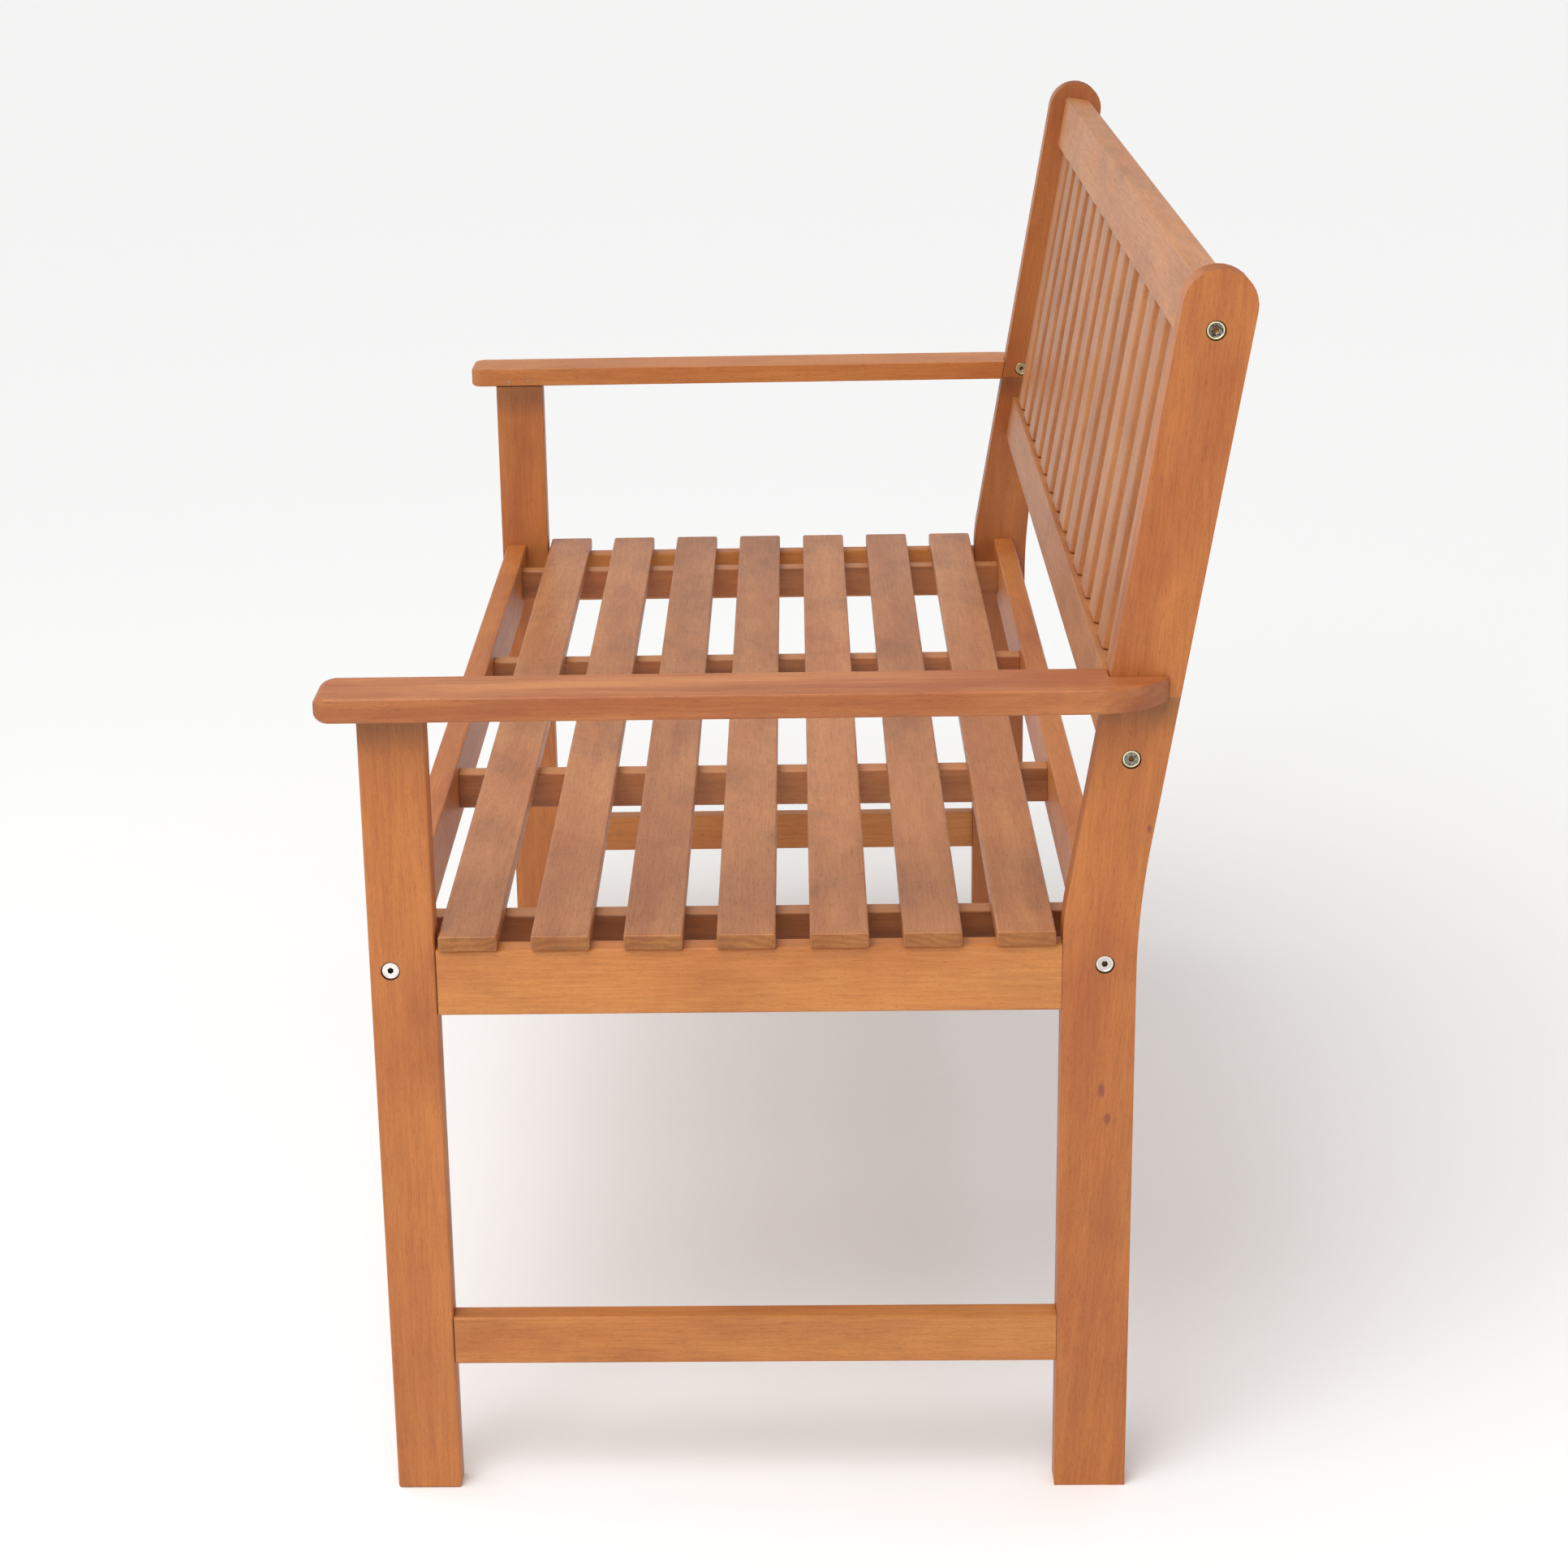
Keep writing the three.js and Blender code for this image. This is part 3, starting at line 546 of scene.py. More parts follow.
# %% Board helper
EASED_EDGE = 0.0022
HOLE_RIM = 0.15
SHARP_ANGLE = math.radians(30)
FLAT_ANGLE = math.radians(0.2)
SAME_POINT = 1e-5
RAY_START = 1e-5
SQUARELY = 0.98
FACE_WEIGHT = 100


def board_number(name):
    """A steady number from 0 to 1 for a piece's name."""
    return (zlib.crc32(name.encode()) % 1000) / 1000.0


def mark(mesh, attribute, value):
    """Give every point of the mesh the same value."""
    marks = mesh.attributes.new(attribute, "FLOAT", "POINT")
    marks.data.foreach_set("value", [value] * len(mesh.vertices))


def finished(source, name):
    """Take the evaluated mesh of source, modifiers and all, as a plain object."""
    graph = bpy.context.evaluated_depsgraph_get()
    mesh = bpy.data.meshes.new_from_object(source.evaluated_get(graph), depsgraph=graph)
    mesh.name = name
    piece = bpy.data.objects.new(name, mesh)
    bpy.context.scene.collection.objects.link(piece)
    bpy.data.objects.remove(source)
    return piece


# %% Outer faces and shoulders
def outer_faces(mesh):
    """The faces from which a ray straight out doesn't meet the mesh again."""
    tree = BVHTree.FromBMesh(mesh)
    outer = set()
    for face in mesh.faces:
        centre = face.calc_center_median()
        hit = tree.ray_cast(centre + face.normal * RAY_START, face.normal)
        if hit[0] is None:
            outer.add(face.index)
    return outer


def shoulder(face, square_axis):
    """True for a face that looks along square_axis, where a board ends in a joint."""
    return square_axis is not None and abs(face.normal[square_axis]) > SQUARELY


def nose_share(line):
    """How squarely an edge of a flat board's end faces the front, from 0 to 1."""
    flat = max(abs(face.normal.z) for face in line.link_faces)
    front = max(-face.normal.y for face in line.link_faces)
    return max(front, 0.0) ** 2 if flat > SQUARELY else 0.0


# %% Dress a board
def board_piece(node, finish, square_axis, tone=0.5, nose=EASED_EDGE):
    """Dress the board of a node. nose is the rounding of its front end, if it has one."""
    mesh = bmesh.new()
    mesh.from_mesh(nodes[node].data)
    bmesh.ops.remove_doubles(mesh, verts=mesh.verts, dist=SAME_POINT)
    bmesh.ops.dissolve_limit(
        mesh, angle_limit=FLAT_ANGLE, verts=mesh.verts, edges=mesh.edges,
    )
    mesh.faces.ensure_lookup_table()
    outer = outer_faces(mesh)
    weights = mesh.edges.layers.float.new("bevel_weight_edge")
    # Inner faces are marked for painted shade in the wood
    hole_shade_faces = mesh.faces.layers.float.new("hole_shade")
    eased = EASED_EDGE / nose
    for line in mesh.edges:
        if len(line.link_faces) != 2 or line.calc_face_angle(0.0) < SHARP_ANGLE:
            continue
        if any(shoulder(face, square_axis) for face in line.link_faces):
            continue
        outside = sum(face.index in outer for face in line.link_faces)
        if outside == 2:
            line[weights] = eased + (1.0 - eased) * nose_share(line)
        elif outside == 1:
            line[weights] = HOLE_RIM * eased
    for face in mesh.faces:
        face.smooth = True
        face[hole_shade_faces] = 0.0 if face.index in outer else 1.0
    data = bpy.data.meshes.new(node + "_board")
    mesh.to_mesh(data)
    mesh.free()
    mark(data, "board", board_number(node))
    mark(data, "tone", tone)
    data.materials.clear()
    data.materials.append(finish)
    raw = bpy.data.objects.new(node + "_raw", data)
    bpy.context.scene.collection.objects.link(raw)
    bevel = raw.modifiers.new("eased edges", "BEVEL")
    bevel.limit_method = "WEIGHT"
    bevel.width = nose
    bevel.segments = 3 if nose == EASED_EDGE else 6
    bevel.use_clamp_overlap = True
    normals = raw.modifiers.new("flat faces", "WEIGHTED_NORMAL")
    normals.keep_sharp = True
    normals.weight = FACE_WEIGHT
    piece = finished(raw, node + "_wood")
    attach(piece, BODY)
    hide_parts(node)
    return piece


# %% [markdown]
# ## Which board gets which finish
#
# Each row of the plan names a piece, its wood, the axis along which its ends run into a
# joint, and a slot name, which here only picks out the armrests. A board whose ends stay
# square there has that axis named.
# Legs and armrests have free ends, so theirs are eased all round. The armrests also have a
# larger rounding at the front. A few boards are lighter or darker than the rest; the far
# back leg and the nearest bearer are darkened as painted shade.

# %% Cut the boards
ACROSS, ALONG = 0, 1
ARM_NOSE = 0.0075
# back_leg_left and seat_bearer_4 are darkened here as painted shade on the far back leg and the nearest
# bearer
BOARD_TONES_AND_SHADE = {
    "armrest_left": 0.6, "armrest_right": 0.5, "front_leg_left": 0.45, "back_leg_left": 0.1,
    "backrest_top_rail": 0.8, "backrest_bottom_rail": 0.4, "side_stretcher_left": 0.3,
    "seat_bearer_4": 0.0, "side_stretcher_right": 0.3,
}
EVEN_TONE = 0.5
plan = [
    ("front_leg_left", "front_leg", None, "leg_wood"),
    ("front_leg_right", "front_leg", None, "leg_wood"),
    ("back_leg_left", "back_leg", None, "leg_wood"),
    ("back_leg_right", "back_leg", None, "leg_wood"),
    ("side_rail_left", "side", ALONG, "rail_wood"),
    ("side_rail_right", "side", ALONG, "rail_wood"),
    ("side_stretcher_left", "side", ALONG, "rail_wood"),
    ("side_stretcher_right", "side", ALONG, "rail_wood"),
    ("armrest_left", "side", None, "arm_wood"),
    ("armrest_right", "arm", None, "arm_wood"),
    ("front_seat_rail", "long_rail", ACROSS, "rail_wood"),
    ("rear_seat_rail", "long_rail", ACROSS, "rail_wood"),
    ("backrest_bottom_rail", "back_rail", ACROSS, "rail_wood"),
    ("backrest_top_rail", "back_rail", ACROSS, "rail_wood"),
    ("seat_bearer_1", "bearer", ALONG, "rail_wood"),
    ("seat_bearer_2", "bearer", ALONG, "rail_wood"),
    ("seat_bearer_3", "bearer", ALONG, "rail_wood"),
    ("seat_bearer_4", "bearer", ALONG, "rail_wood"),
]
for node, wood_name, square_axis, slot in plan:
    nose = ARM_NOSE if slot == "arm_wood" else EASED_EDGE
    tone = BOARD_TONES_AND_SHADE.get(node, EVEN_TONE)
    board_piece(node, woods[wood_name], square_axis, tone, nose)
print("cut", len(plan), "boards from the frame")


# %% [markdown]
# ## Rows of slats
#
# A row of slats is one board repeated at a steady pitch, which is just what Geometry Nodes
# are for. One tree makes the row. It starts from a cube with six points along each side.
# A sum on each point's place slides the inner points out to where the rounding begins,
# then pushes the outer ones onto a quarter circle, so every edge comes out truly round.
# The board is then set along a line of points, each copy is given its own board number,
# and the row is leaned back and put in its place.

# %% Tree helper
class Tree:
    """A Geometry Nodes tree under construction, with named inputs."""

    def __init__(self, name):
        self.group = bpy.data.node_groups.new(name, "GeometryNodeTree")
        self.group.interface.new_socket(
            "Geometry", in_out="OUTPUT", socket_type="NodeSocketGeometry",
        )
        self.start = self.group.nodes.new("NodeGroupInput")
        self.end = self.group.nodes.new("NodeGroupOutput")
        self.identifiers = {}

    def input(self, name, kind):
        socket = self.group.interface.new_socket(name, in_out="INPUT", socket_type=kind)
        self.identifiers[name] = socket.identifier
        return self.start.outputs[name]

    def node(self, kind, settings, sockets, output=0):
        made = self.group.nodes.new(kind)
        for name, value in settings.items():
            setattr(made, name, value)
        for key, value in sockets.items():
            if isinstance(value, bpy.types.NodeSocket):
                self.group.links.new(value, made.inputs[key])
            else:
                made.inputs[key].default_value = value
        return made.outputs[output]

    def vector(self, operation, first, second=None):
        sockets = {0: first} if second is None else {0: first, 1: second}
        return self.node("ShaderNodeVectorMath", {"operation": operation}, sockets)

    def finish(self, geometry):
        self.group.links.new(geometry, self.end.inputs[0])

    def on(self, owner, values):
        """Add the tree to owner as a modifier, with its inputs set by identifier."""
        modifier = owner.modifiers.new(self.group.name, "NODES")
        modifier.node_group = self.group
        for name, value in values.items():
            modifier[self.identifiers[name]] = value


# %% Slat tree
SIDE_POINTS = 6
FIRST_SHARE = 0.2
TONE_RANGE = (0.3, 0.7)
TONE_SEED_STEP = 100.0


def slat_row_tree():
    """The tree that rounds one slat and repeats it in a row."""
    tree = Tree("slat_row")
    size = tree.input("Slat Size", "NodeSocketVector")
    rounding = tree.input("Rounding", "NodeSocketFloat")
    count = tree.input("Count", "NodeSocketInt")
    first = tree.input("First Slat", "NodeSocketVector")
    step = tree.input("Step", "NodeSocketVector")
    lean = tree.input("Lean", "NodeSocketVector")
    centre = tree.input("Place", "NodeSocketVector")
    seed = tree.input("Seed", "NodeSocketInt")
    finish = tree.input("Finish", "NodeSocketMaterial")

    cube = tree.node(
        "GeometryNodeMeshCube", {},
        {
            "Size": size, "Vertices X": SIDE_POINTS, "Vertices Y": SIDE_POINTS,
            "Vertices Z": SIDE_POINTS,
        },
    )
    place = tree.node("GeometryNodeInputPosition", {}, {})
    half = tree.vector("SCALE", size)
    half.node.inputs["Scale"].default_value = 0.5
    share = tree.vector("ABSOLUTE", tree.vector("DIVIDE", place, half))
    # A share of 0.2, 0.6 or 1 becomes an angle of 0, an eighth or a quarter of the way
    past_first = tree.vector("SUBTRACT", share, (FIRST_SHARE, FIRST_SHARE, FIRST_SHARE))
    angle = tree.vector("MAXIMUM", past_first, (0, 0, 0))
    angle = tree.vector("SCALE", angle)
    angle.node.inputs["Scale"].default_value = math.pi / 4 / (1.0 - FIRST_SHARE)
    outward = tree.vector("NORMALIZE", tree.vector("TANGENT", angle))
    arc = tree.vector("SCALE", outward)
    tree.group.links.new(rounding, arc.node.inputs["Scale"])
    edge = tree.node("ShaderNodeCombineXYZ", {}, {0: rounding, 1: rounding, 2: rounding})
    core = tree.vector("SUBTRACT", half, edge)
    rounded = tree.vector("MULTIPLY", tree.vector("SIGN", place), tree.vector("ADD", core, arc))
    slat = tree.node("GeometryNodeSetPosition", {}, {"Geometry": cube, "Position": rounded})

    line = tree.node(
        "GeometryNodeMeshLine", {}, {"Count": count, "Start Location": first, "Offset": step},
    )
    row = tree.node("GeometryNodeInstanceOnPoints", {}, {"Points": line, "Instance": slat})
    number = tree.node("FunctionNodeRandomValue", {"data_type": "FLOAT"}, {"Seed": seed}, 1)
    tagged = tree.node(
        "GeometryNodeStoreNamedAttribute", {"data_type": "FLOAT", "domain": "INSTANCE"},
        {"Geometry": row, "Name": "board", "Value": number},
    )
    tone_seed = tree.node("ShaderNodeMath", {"operation": "ADD"}, {0: seed, 1: TONE_SEED_STEP})
    tone = tree.node(
        "FunctionNodeRandomValue", {"data_type": "FLOAT"},
        {2: TONE_RANGE[0], 3: TONE_RANGE[1], "Seed": tone_seed}, 1,
    )
    tagged = tree.node(
        "GeometryNodeStoreNamedAttribute", {"data_type": "FLOAT", "domain": "INSTANCE"},
        {"Geometry": tagged, "Name": "tone", "Value": tone},
    )
    plain = tree.node("GeometryNodeRealizeInstances", {}, {"Geometry": tagged})
    placed = tree.node(
        "GeometryNodeTransform", {},
        {"Geometry": plain, "Translation": centre, "Rotation": lean},
    )
    smooth = tree.node("GeometryNodeSetShadeSmooth", {}, {"Geometry": placed})
    tree.finish(tree.node(
        "GeometryNodeSetMaterial", {}, {"Geometry": smooth, "Material": finish},
    ))
    return tree


SLAT_ROW = slat_row_tree()
print("slat tree has", len(SLAT_ROW.group.nodes), "nodes")


# %% Slat row
def slat_row(name, values, replaced):
    """Grow a row of slats as one plain, smooth mesh."""
    seedling = bpy.data.objects.new(name + "_raw", bpy.data.meshes.new(name + "_raw"))
    bpy.context.scene.collection.objects.link(seedling)
    SLAT_ROW.on(seedling, values)
    normals = seedling.modifiers.new("flat faces", "WEIGHTED_NORMAL")
    normals.weight = FACE_WEIGHT
    row = finished(seedling, name)
    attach(row, BODY)
    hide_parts(*replaced)
    print(name, "has", len(row.data.polygons), "faces")


# %% [markdown]
# The seat slats lie across the bench and run a little past the side rails. Their size,
# pitch and height are read from the boxes of the slats in the frame.

# %% Seat slats
SLAT_ROUNDING = 0.0019
seat_nodes = [f"seat_slat_{number}" for number in range(1, 8)]
low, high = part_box(seat_nodes[0])
low_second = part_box(seat_nodes[1])[0]
seat_pitch = low_second.y - low.y
slat_row(
    "seat_slats",
    {
        "Slat Size": tuple(high - low),
        "Rounding": SLAT_ROUNDING,
        "Count": len(seat_nodes),
        "First Slat": (0.0, 0.0, 0.0),
        "Step": (0.0, seat_pitch, 0.0),
        "Lean": (0.0, 0.0, 0.0),
        "Place": tuple((low + high) / 2),
        "Seed": 11,
        "Finish": woods["seat_slat"],
    },
    seat_nodes,
)

# %% [markdown]
# The backrest slats stand between the two back rails. They lean with the legs, so their
# boxes in the frame are wider than they are. The middle of each box is still the middle of
# its slat, and the pitch across the bench is still the pitch.

# %% Backrest slats
BACK_SLAT_SIZE = Vector((0.040, 0.014, 0.2512))
back_nodes = [f"back_slat_{number:02d}" for number in range(1, 16)]
back_middles = [sum(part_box(node), Vector()) / 2 for node in back_nodes]
back_pitch = back_middles[1].x - back_middles[0].x
slat_row(
    "backrest_slats",
    {
        "Slat Size": tuple(BACK_SLAT_SIZE),
        "Rounding": SLAT_ROUNDING,
        "Count": len(back_nodes),
        "First Slat": (back_middles[0].x, 0.0, 0.0),
        "Step": (back_pitch, 0.0, 0.0),
        "Lean": (-BACK_RAKE, 0.0, 0.0),
        "Place": (0.0, back_middles[0].y, back_middles[0].z),
        "Seed": 23,
        "Finish": woods["back_slat"],
    },
    back_nodes,
)


# %% [markdown]
# ## Plated steel
#
# The bolts are bright plated steel and the nuts are yellow zinc. On plating the colour
# drifts a little from place to place, and handling leaves fine scratches and dull spots.
# Each fastener carries a number called tone, which sets how bright its face still is.

# %% Metal finishes
CLEAN_SOCKET_SHADE = (0.06, 0.05, 0.045)
STAINED_SOCKET = (0.42, 0.26, 0.10)
MOTTLE_SCALE = 700.0
SCRATCHES = (300.0, 4200.0, 500.0)


def plated(name, bright, dull, rim, roughness):
    """Plating that goes from bright to dull on the face, and to rim colour round it."""
    finish = Finish(name)
    tone = finish.node("ShaderNodeAttribute", {"attribute_name": "tone"}, {}, "Fac")
    zone = finish.node("ShaderNodeAttribute", {"attribute_name": "zone"}, {}, "Fac")
    place = finish.node("ShaderNodeTexCoord", {}, {}, "Object")
    mottle = finish.ramp(finish.noise(place, MOTTLE_SCALE, 3.0, 0.6), 0.35, 0.65)
    scratches = finish.noise(finish.vector("MULTIPLY", place, SCRATCHES), 1.0)
    face = finish.mix(tone * (0.7 + mottle * 0.3), rgb(*bright), rgb(*dull))
    around = finish.mix(tone, rgb(*bright), rgb(*rim))
    # Bright bolts get a near black socket, painted shade in the recess; dark bolts a golden one
    socket = finish.mix(tone, rgb(*CLEAN_SOCKET_SHADE), rgb(*STAINED_SOCKET))
    colour = finish.mix(finish.ramp(zone, 0.3, 0.7), around, face)
    colour = finish.mix(finish.ramp(zone, 1.3, 1.7), colour, socket)
    finish.set(base_color=colour, metallic=1.0)
    finish.set(roughness=roughness + mottle * 0.12 + scratches * 0.08 + tone * 0.12)
    bump = finish.node(
        "ShaderNodeBump", {}, {"Strength": 0.15, "Distance": 0.0001, "Height": scratches},
    )
    finish.set(normal=bump)
    return finish.material


nickel = plated(
    "bolt_nickel", bright=(0.88, 0.82, 0.79), dull=(0.035, 0.024, 0.018),
    rim=(0.84, 0.79, 0.46), roughness=0.2,
)
zinc = plated(
    "nut_zinc", bright=(0.80, 0.70, 0.45), dull=(0.34, 0.22, 0.09),
    rim=(0.60, 0.42, 0.17), roughness=0.26,
)
print("plated finishes:", nickel.name, "and", zinc.name)


# %% [markdown]
# ## Fasteners
#
# A turned fastener is a stack of rings. Each ring has the same number of points, and its
# outline may be round, six-sided, a slot or a cross, so joining ring to ring gives heads
# with real sockets in them. One template of each kind is made along +X, its face at X = 0
# and its body behind it.

# %% Outlines
def round_outline(angle):
    return 1.0


def hex_outline(angle):
    """Six flats one unit from the middle."""
    sixth = math.pi / 3
    return 1.0 / math.cos((angle + sixth / 2) % sixth - sixth / 2)


SLOT_HALF_WIDTH = 0.25
NEARLY_ZERO = 1e-6
CROSS_ARM_FROM = 0.93
CROSS_WAIST = 0.42


def slot_outline(angle):
    """A slot one unit long from the middle and a quarter of a unit to each side."""
    to_end = 1.0 / max(abs(math.cos(angle)), NEARLY_ZERO)
    to_side = SLOT_HALF_WIDTH / max(abs(math.sin(angle)), NEARLY_ZERO)
    return min(to_end, to_side)


def cross_outline(angle):
    """A four-armed cross, one unit from the middle to the end of each arm."""
    arm = max(abs(math.cos(angle)), abs(math.sin(angle)))
    return 1.0 if arm > CROSS_ARM_FROM else CROSS_WAIST


# %% Lathe
def lathe(name, rings, points):
    """A closed body round X from rings of (depth, radius, outline, zone)."""
    mesh = bmesh.new()
    zones = mesh.verts.layers.float.new("zone")
    loops = []
    for depth, radius, outline, zone in rings:
        loop = []
        for number in range(points):
            angle = 2 * math.pi * number / points
            reach = radius * outline(angle)
            point = mesh.verts.new((depth, reach * math.cos(angle), reach * math.sin(angle)))
            point[zones] = zone
            loop.append(point)
        loops.append(loop)
    for loop, following in zip(loops, loops[1:]):
        for number in range(points):
            after = (number + 1) % points
            mesh.faces.new((loop[number], loop[after], following[after], following[number]))
    mesh.faces.new(list(reversed(loops[0])))
    mesh.faces.new(loops[-1])
    bmesh.ops.recalc_face_normals(mesh, faces=mesh.faces)
    for face in mesh.faces:
        face.smooth = len(face.verts) == 4
    for line in mesh.edges:
        line.smooth = line.calc_face_angle(0.0) < SHARP_ANGLE
    data = bpy.data.meshes.new(name)
    mesh.to_mesh(data)
    mesh.free()
    template = bpy.data.objects.new(name, data)
    bpy.context.scene.collection.objects.link(template)
    return template


# %% Bolt templates
MM = 0.001
RIM, FACE, SOCKET = 0.0, 1.0, 2.0
bolt_low, bolt_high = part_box("front_rail_bolt_right")
BOLT_LENGTH = bolt_high.x - bolt_low.x
HEAD_RADIUS = (bolt_high.z - bolt_low.z) / 2
SHANK_RADIUS = 3.0 * MM
SOCKET_FLAT = 1.8 * MM
arm_bolt_low, arm_bolt_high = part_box("arm_bolt_right")


def bolt_template(name, length):
    """A flat round head with a shallow dish, a bright rim and a hexagon socket."""
    return lathe(name, [
        (-length, SHANK_RADIUS * 0.8, round_outline, RIM),
        (-length + 0.8 * MM, SHANK_RADIUS, round_outline, RIM),
        (-6.0 * MM, SHANK_RADIUS, round_outline, RIM),
        (-6.0 * MM, HEAD_RADIUS, round_outline, RIM),
        (-0.7 * MM, HEAD_RADIUS, round_outline, RIM),
        (-0.2 * MM, HEAD_RADIUS - 0.15 * MM, round_outline, RIM),
        (0.0, HEAD_RADIUS - 0.6 * MM, round_outline, RIM),
        (-0.1 * MM, HEAD_RADIUS - 1.2 * MM, round_outline, RIM),
        (-0.35 * MM, HEAD_RADIUS - 1.5 * MM, round_outline, FACE),
        (-0.35 * MM, SOCKET_FLAT + 0.4 * MM, hex_outline, FACE),
        (-0.6 * MM, SOCKET_FLAT, hex_outline, SOCKET),
        (-3.6 * MM, SOCKET_FLAT, hex_outline, SOCKET),
        (-4.4 * MM, 0.4 * MM, round_outline, SOCKET),
    ], 48)


leg_bolt = bolt_template("leg_bolt_template", BOLT_LENGTH)
arm_bolt = bolt_template("arm_bolt_template", arm_bolt_high.x - arm_bolt_low.x)
print("leg bolt is", round(BOLT_LENGTH / MM, 1), "mm long; head", round(2 * HEAD_RADIUS / MM, 1))


# %% Nut, screw and brad templates
NUT_RADIUS = 5.0 * MM
NUT_LENGTH = 14.0 * MM
barrel_nut = lathe("barrel_nut_template", [
    (-NUT_LENGTH, NUT_RADIUS - 0.5 * MM, round_outline, RIM),
    (-NUT_LENGTH + 0.5 * MM, NUT_RADIUS, round_outline, RIM),
    (-0.5 * MM, NUT_RADIUS, round_outline, RIM),
    (0.0, NUT_RADIUS - 0.5 * MM, round_outline, FACE),
    (0.0, 3.8 * MM, slot_outline, FACE),
    (-1.4 * MM, 3.8 * MM, slot_outline, SOCKET),
], 40)
SCREW_RADIUS = 3.6 * MM
wood_screw = lathe("wood_screw_template", [
    (-9.0 * MM, 0.4 * MM, round_outline, RIM),
    (-6.0 * MM, 1.5 * MM, round_outline, RIM),
    (-2.2 * MM, 1.6 * MM, round_outline, RIM),
    (-0.3 * MM, SCREW_RADIUS, round_outline, RIM),
    (0.0, SCREW_RADIUS - 0.3 * MM, round_outline, FACE),
    (0.0, 2.1 * MM, cross_outline, FACE),
    (-1.5 * MM, 0.9 * MM, cross_outline, SOCKET),
], 32)
BRAD_RADIUS = 1.3 * MM
brad = lathe("brad_template", [
    (-12.0 * MM, 0.5 * MM, round_outline, RIM),
    (-0.6 * MM, 0.7 * MM, round_outline, RIM),
    (-0.3 * MM, BRAD_RADIUS, round_outline, RIM),
    (-0.05 * MM, BRAD_RADIUS, round_outline, FACE),
    (0.0, BRAD_RADIUS - 0.25 * MM, round_outline, FACE),
], 16)
for template in (leg_bolt, arm_bolt, barrel_nut, wood_screw, brad):
    print(template.name, "has", len(template.data.polygons), "faces")


# %% [markdown]
# ## Setting the fasteners
#
# A small tree puts a template on every point it is given. It turns each copy to face the
# way that its point says, and then twists it by a random amount, because no two bolts
# stop with their sockets at the same angle. Each point also passes on its tone.

# %% Fastener tree
def fastener_tree():
    """The tree that sets a template on points and turns it to face their way."""
    tree = Tree("fasteners_on_points")
    points = tree.input("Points", "NodeSocketGeometry")
    template = tree.input("Template", "NodeSocketObject")
    seed = tree.input("Seed", "NodeSocketInt")
    finish = tree.input("Finish", "NodeSocketMaterial")
    body = tree.node("GeometryNodeObjectInfo", {}, {"Object": template}, "Geometry")
    facing = tree.node(
        "GeometryNodeInputNamedAttribute", {"data_type": "FLOAT_VECTOR"}, {"Name": "facing"},
    )
    turn = tree.node(
        "FunctionNodeAlignRotationToVector", {"axis": "X"}, {"Vector": facing},
    )
    angle = tree.node(
        "FunctionNodeRandomValue", {"data_type": "FLOAT"},
        {2: 0.0, 3: 2 * math.pi, "Seed": seed}, 1,
    )
    twist = tree.node(
        "FunctionNodeAxisAngleToRotation", {}, {"Axis": (1.0, 0.0, 0.0), "Angle": angle},
    )
    turned_both = tree.node(
        "FunctionNodeRotateRotation", {"rotation_space": "LOCAL"},
        {"Rotation": turn, "Rotate By": twist},
    )
    copies = tree.node(
        "GeometryNodeInstanceOnPoints", {},
        {"Points": points, "Instance": body, "Rotation": turned_both},
    )
    plain = tree.node("GeometryNodeRealizeInstances", {}, {"Geometry": copies})
    tree.finish(tree.node(
        "GeometryNodeSetMaterial", {}, {"Geometry": plain, "Material": finish},
    ))
    return tree


FASTENERS = fastener_tree()
print("fastener tree has", len(FASTENERS.group.nodes), "nodes")


# %% Set the fasteners
def fasteners(name, template, places, finish, seed, replaced=()):
    """Set one template at each (place, facing, tone), all in one plain mesh."""
    mesh = bpy.data.meshes.new(name + "_points")
    mesh.from_pydata([tuple(place) for place, _, _ in places], [], [])
    mesh.attributes.new("facing", "FLOAT_VECTOR", "POINT")
    mesh.attributes.new("tone", "FLOAT", "POINT")
    for number, (_, towards, tone) in enumerate(places):
        mesh.attributes["facing"].data[number].vector = towards
        mesh.attributes["tone"].data[number].value = tone
    owner = bpy.data.objects.new(name + "_raw", mesh)
    bpy.context.scene.collection.objects.link(owner)
    FASTENERS.on(owner, {"Template": template, "Seed": seed, "Finish": finish})
    piece = finished(owner, name)
    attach(piece, BODY)
    if replaced:
        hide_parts(*replaced)
    print(name, "sets", len(places), "with", len(piece.data.polygons), "faces")


# %% [markdown]
# The leg bolts face out of the bench and the arm bolts face into it. Their places are the
# ends of the bolts' boxes in the frame. The low ones still shine and the ones on the
# backrest have gone dark.

# %% Bolts
ARM_BOLT_TONE = 0.45
BOLT_TONES = {"front_rail": 0.0, "rear_rail": 0.35, "back_bottom": 0.92, "back_top": 1.0}
leg_bolt_places = []
leg_bolt_nodes = []
arm_bolt_places = []
arm_bolt_nodes = []
for side, outward in (("left", -1.0), ("right", 1.0)):
    for rail, tone in BOLT_TONES.items():
        node = f"{rail}_bolt_{side}"
        low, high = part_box(node)
        face = Vector(((high.x if outward > 0 else low.x), *((low + high) / 2).yz))
        leg_bolt_places.append((face, (outward, 0.0, 0.0), tone))
        leg_bolt_nodes.append(node)
    node = f"arm_bolt_{side}"
    low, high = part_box(node)
    face = Vector(((low.x if outward > 0 else high.x), *((low + high) / 2).yz))
    arm_bolt_places.append((face, (-outward, 0.0, 0.0), ARM_BOLT_TONE))
    arm_bolt_nodes.append(node)
fasteners(
    "leg_bolts", leg_bolt, leg_bolt_places, nickel,
    seed=3, replaced=leg_bolt_nodes,
)
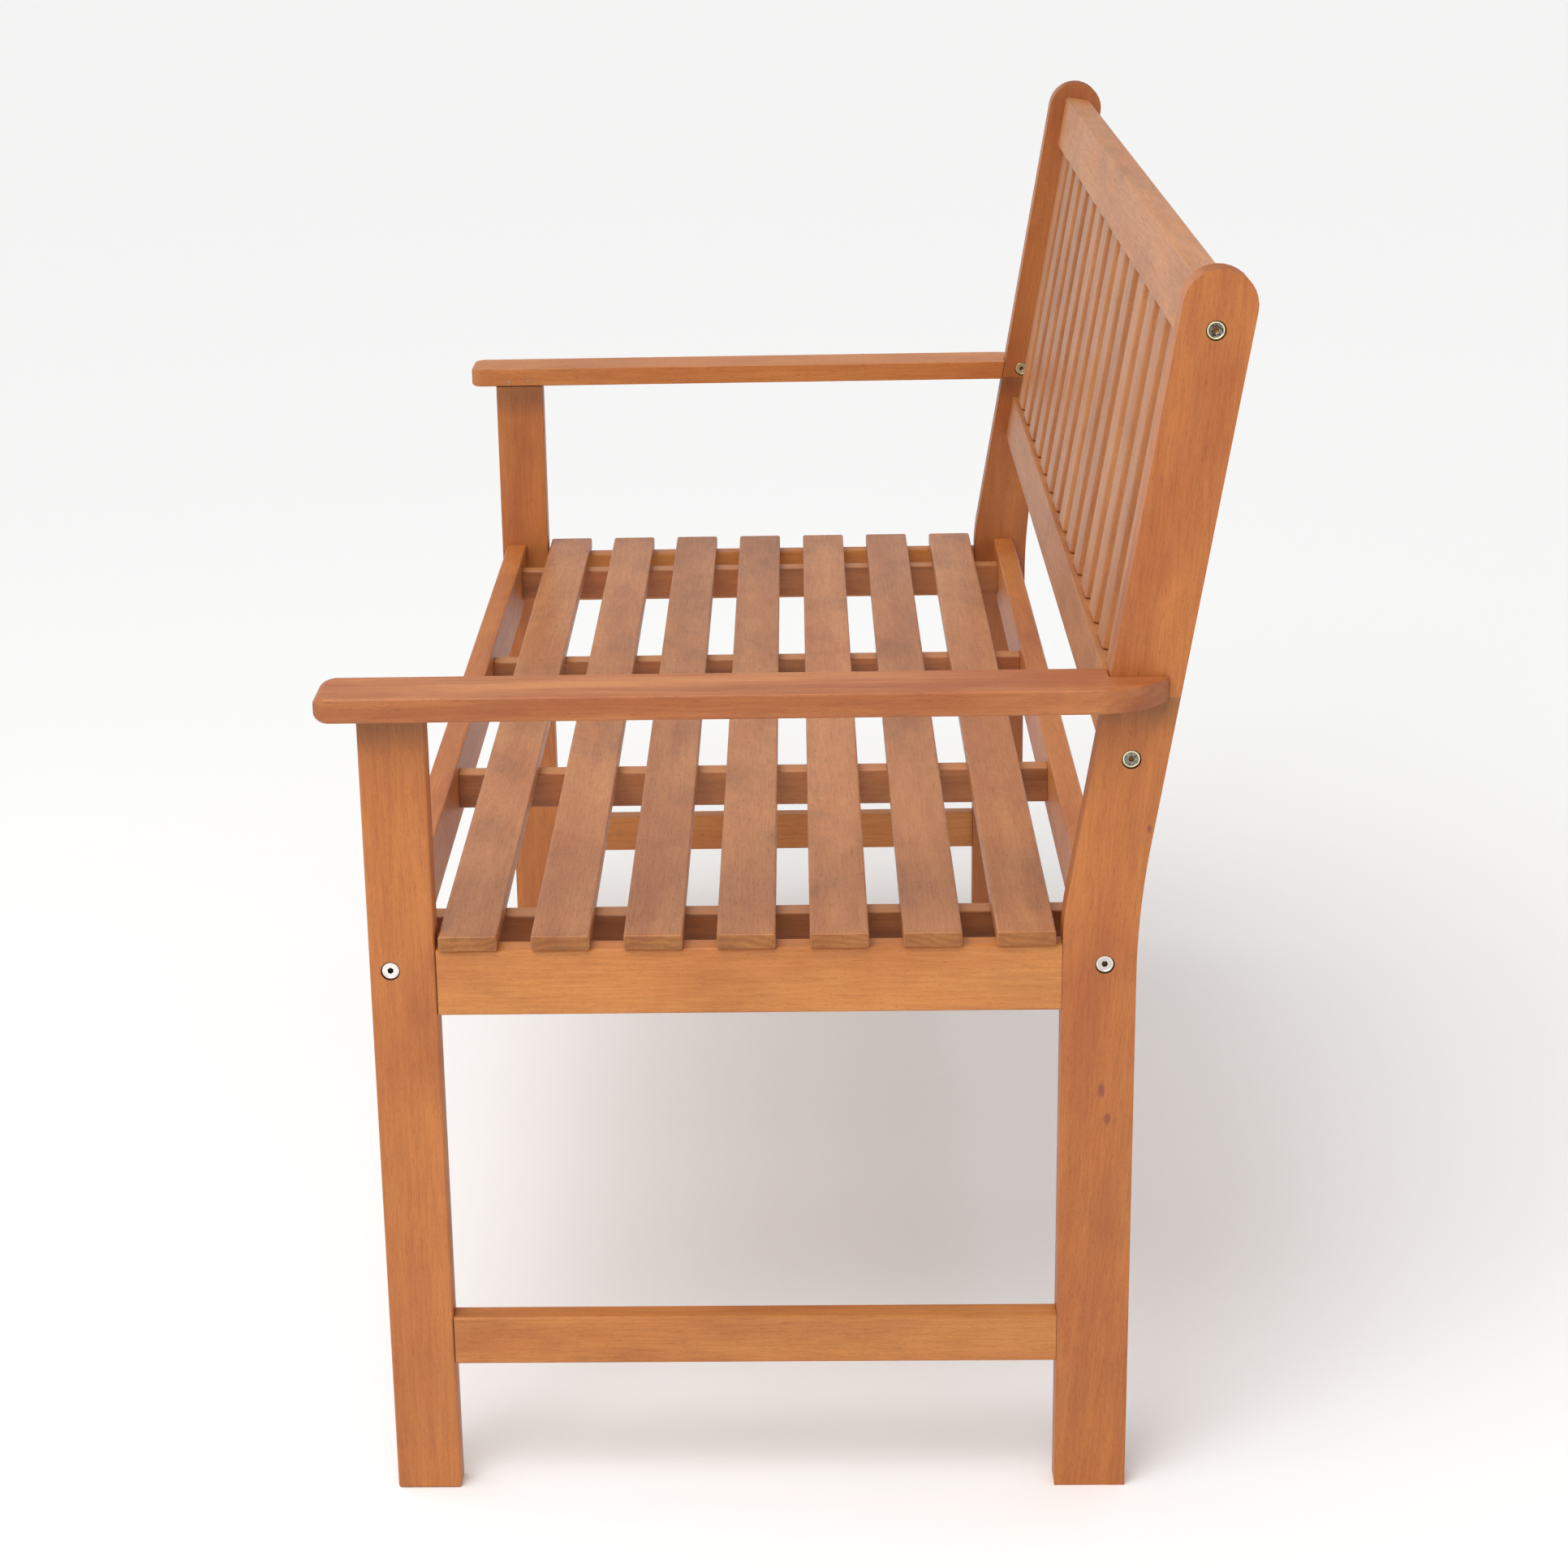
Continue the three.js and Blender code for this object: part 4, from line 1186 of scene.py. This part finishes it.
fasteners(
    "arm_bolts", arm_bolt, arm_bolt_places, zinc,
    seed=5, replaced=arm_bolt_nodes,
)

# %% [markdown]
# Each bolt screws into a barrel nut, a short steel rod that lies across the rail. Its end
# shows as a slotted disc on the hidden side of the rail: the inner side of the seat rails
# and the rear of the backrest. The insert nuts stay inside the armrests.

# %% Nuts
NUT_TONE = 0.35
nut_places = []
nut_nodes = []
BACKWARD = (0.0, math.cos(BACK_RAKE), -math.sin(BACK_RAKE))
for side in ("left", "right"):
    for rail, towards in (
        ("front_rail", (0.0, 1.0, 0.0)), ("rear_rail", (0.0, -1.0, 0.0)),
        ("back_bottom", BACKWARD), ("back_top", BACKWARD),
    ):
        node = f"{rail}_nut_{side}"
        low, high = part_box(node)
        face = (low + high) / 2 + Vector(towards) * NUT_LENGTH / 2
        nut_places.append((face, towards, NUT_TONE))
        nut_nodes.append(node)
fasteners(
    "barrel_nuts", barrel_nut, nut_places, zinc,
    seed=7, replaced=nut_nodes,
)
for side in ("left", "right"):
    sleeve = nodes[f"arm_insert_nut_{side}"]
    sleeve.data.materials.clear()
    sleeve.data.materials.append(zinc)

# %% [markdown]
# The slats are held from below by a screw through every bearer, and the armrests by brads
# through their inner edges into the front legs. Both are small, so a template with few
# faces is enough.

# %% Screws and brads
SCREW_PROUD = 0.3 * MM
SCREW_TONE = 0.3
DOWNWARD = (0.0, 0.0, -1.0)
BEARER_COUNT = 4
screw_places = []
for number in range(1, BEARER_COUNT + 1):
    low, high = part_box(f"seat_bearer_{number}")
    middle = (low + high) / 2
    for slat in seat_nodes:
        slat_low, slat_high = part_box(slat)
        place = Vector((middle.x, (slat_low.y + slat_high.y) / 2, low.z - SCREW_PROUD))
        screw_places.append((place, DOWNWARD, SCREW_TONE))
fasteners("slat_screws", wood_screw, screw_places, zinc, seed=13)

# Each brad's place: back from the front of the leg, and up from the armrest's underside
BRAD_OFFSETS = ((12.9 * MM, 4.2 * MM), (31.8 * MM, 5.6 * MM))
BRAD_PROUD = 0.02 * MM
BRAD_TONE = 0.8
brad_places = []
for side, outward in (("left", -1.0), ("right", 1.0)):
    arm_low, arm_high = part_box(f"armrest_{side}")
    leg_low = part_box(f"front_leg_{side}")[0]
    edge = arm_high.x if outward < 0 else arm_low.x
    for back, up in BRAD_OFFSETS:
        place = Vector((edge - outward * BRAD_PROUD, leg_low.y + back, arm_low.z + up))
        brad_places.append((place, (-outward, 0.0, 0.0), BRAD_TONE))
fasteners("arm_brads", brad, brad_places, nickel, seed=17)

for template in (leg_bolt, arm_bolt, barrel_nut, wood_screw, brad):
    bpy.data.objects.remove(template)
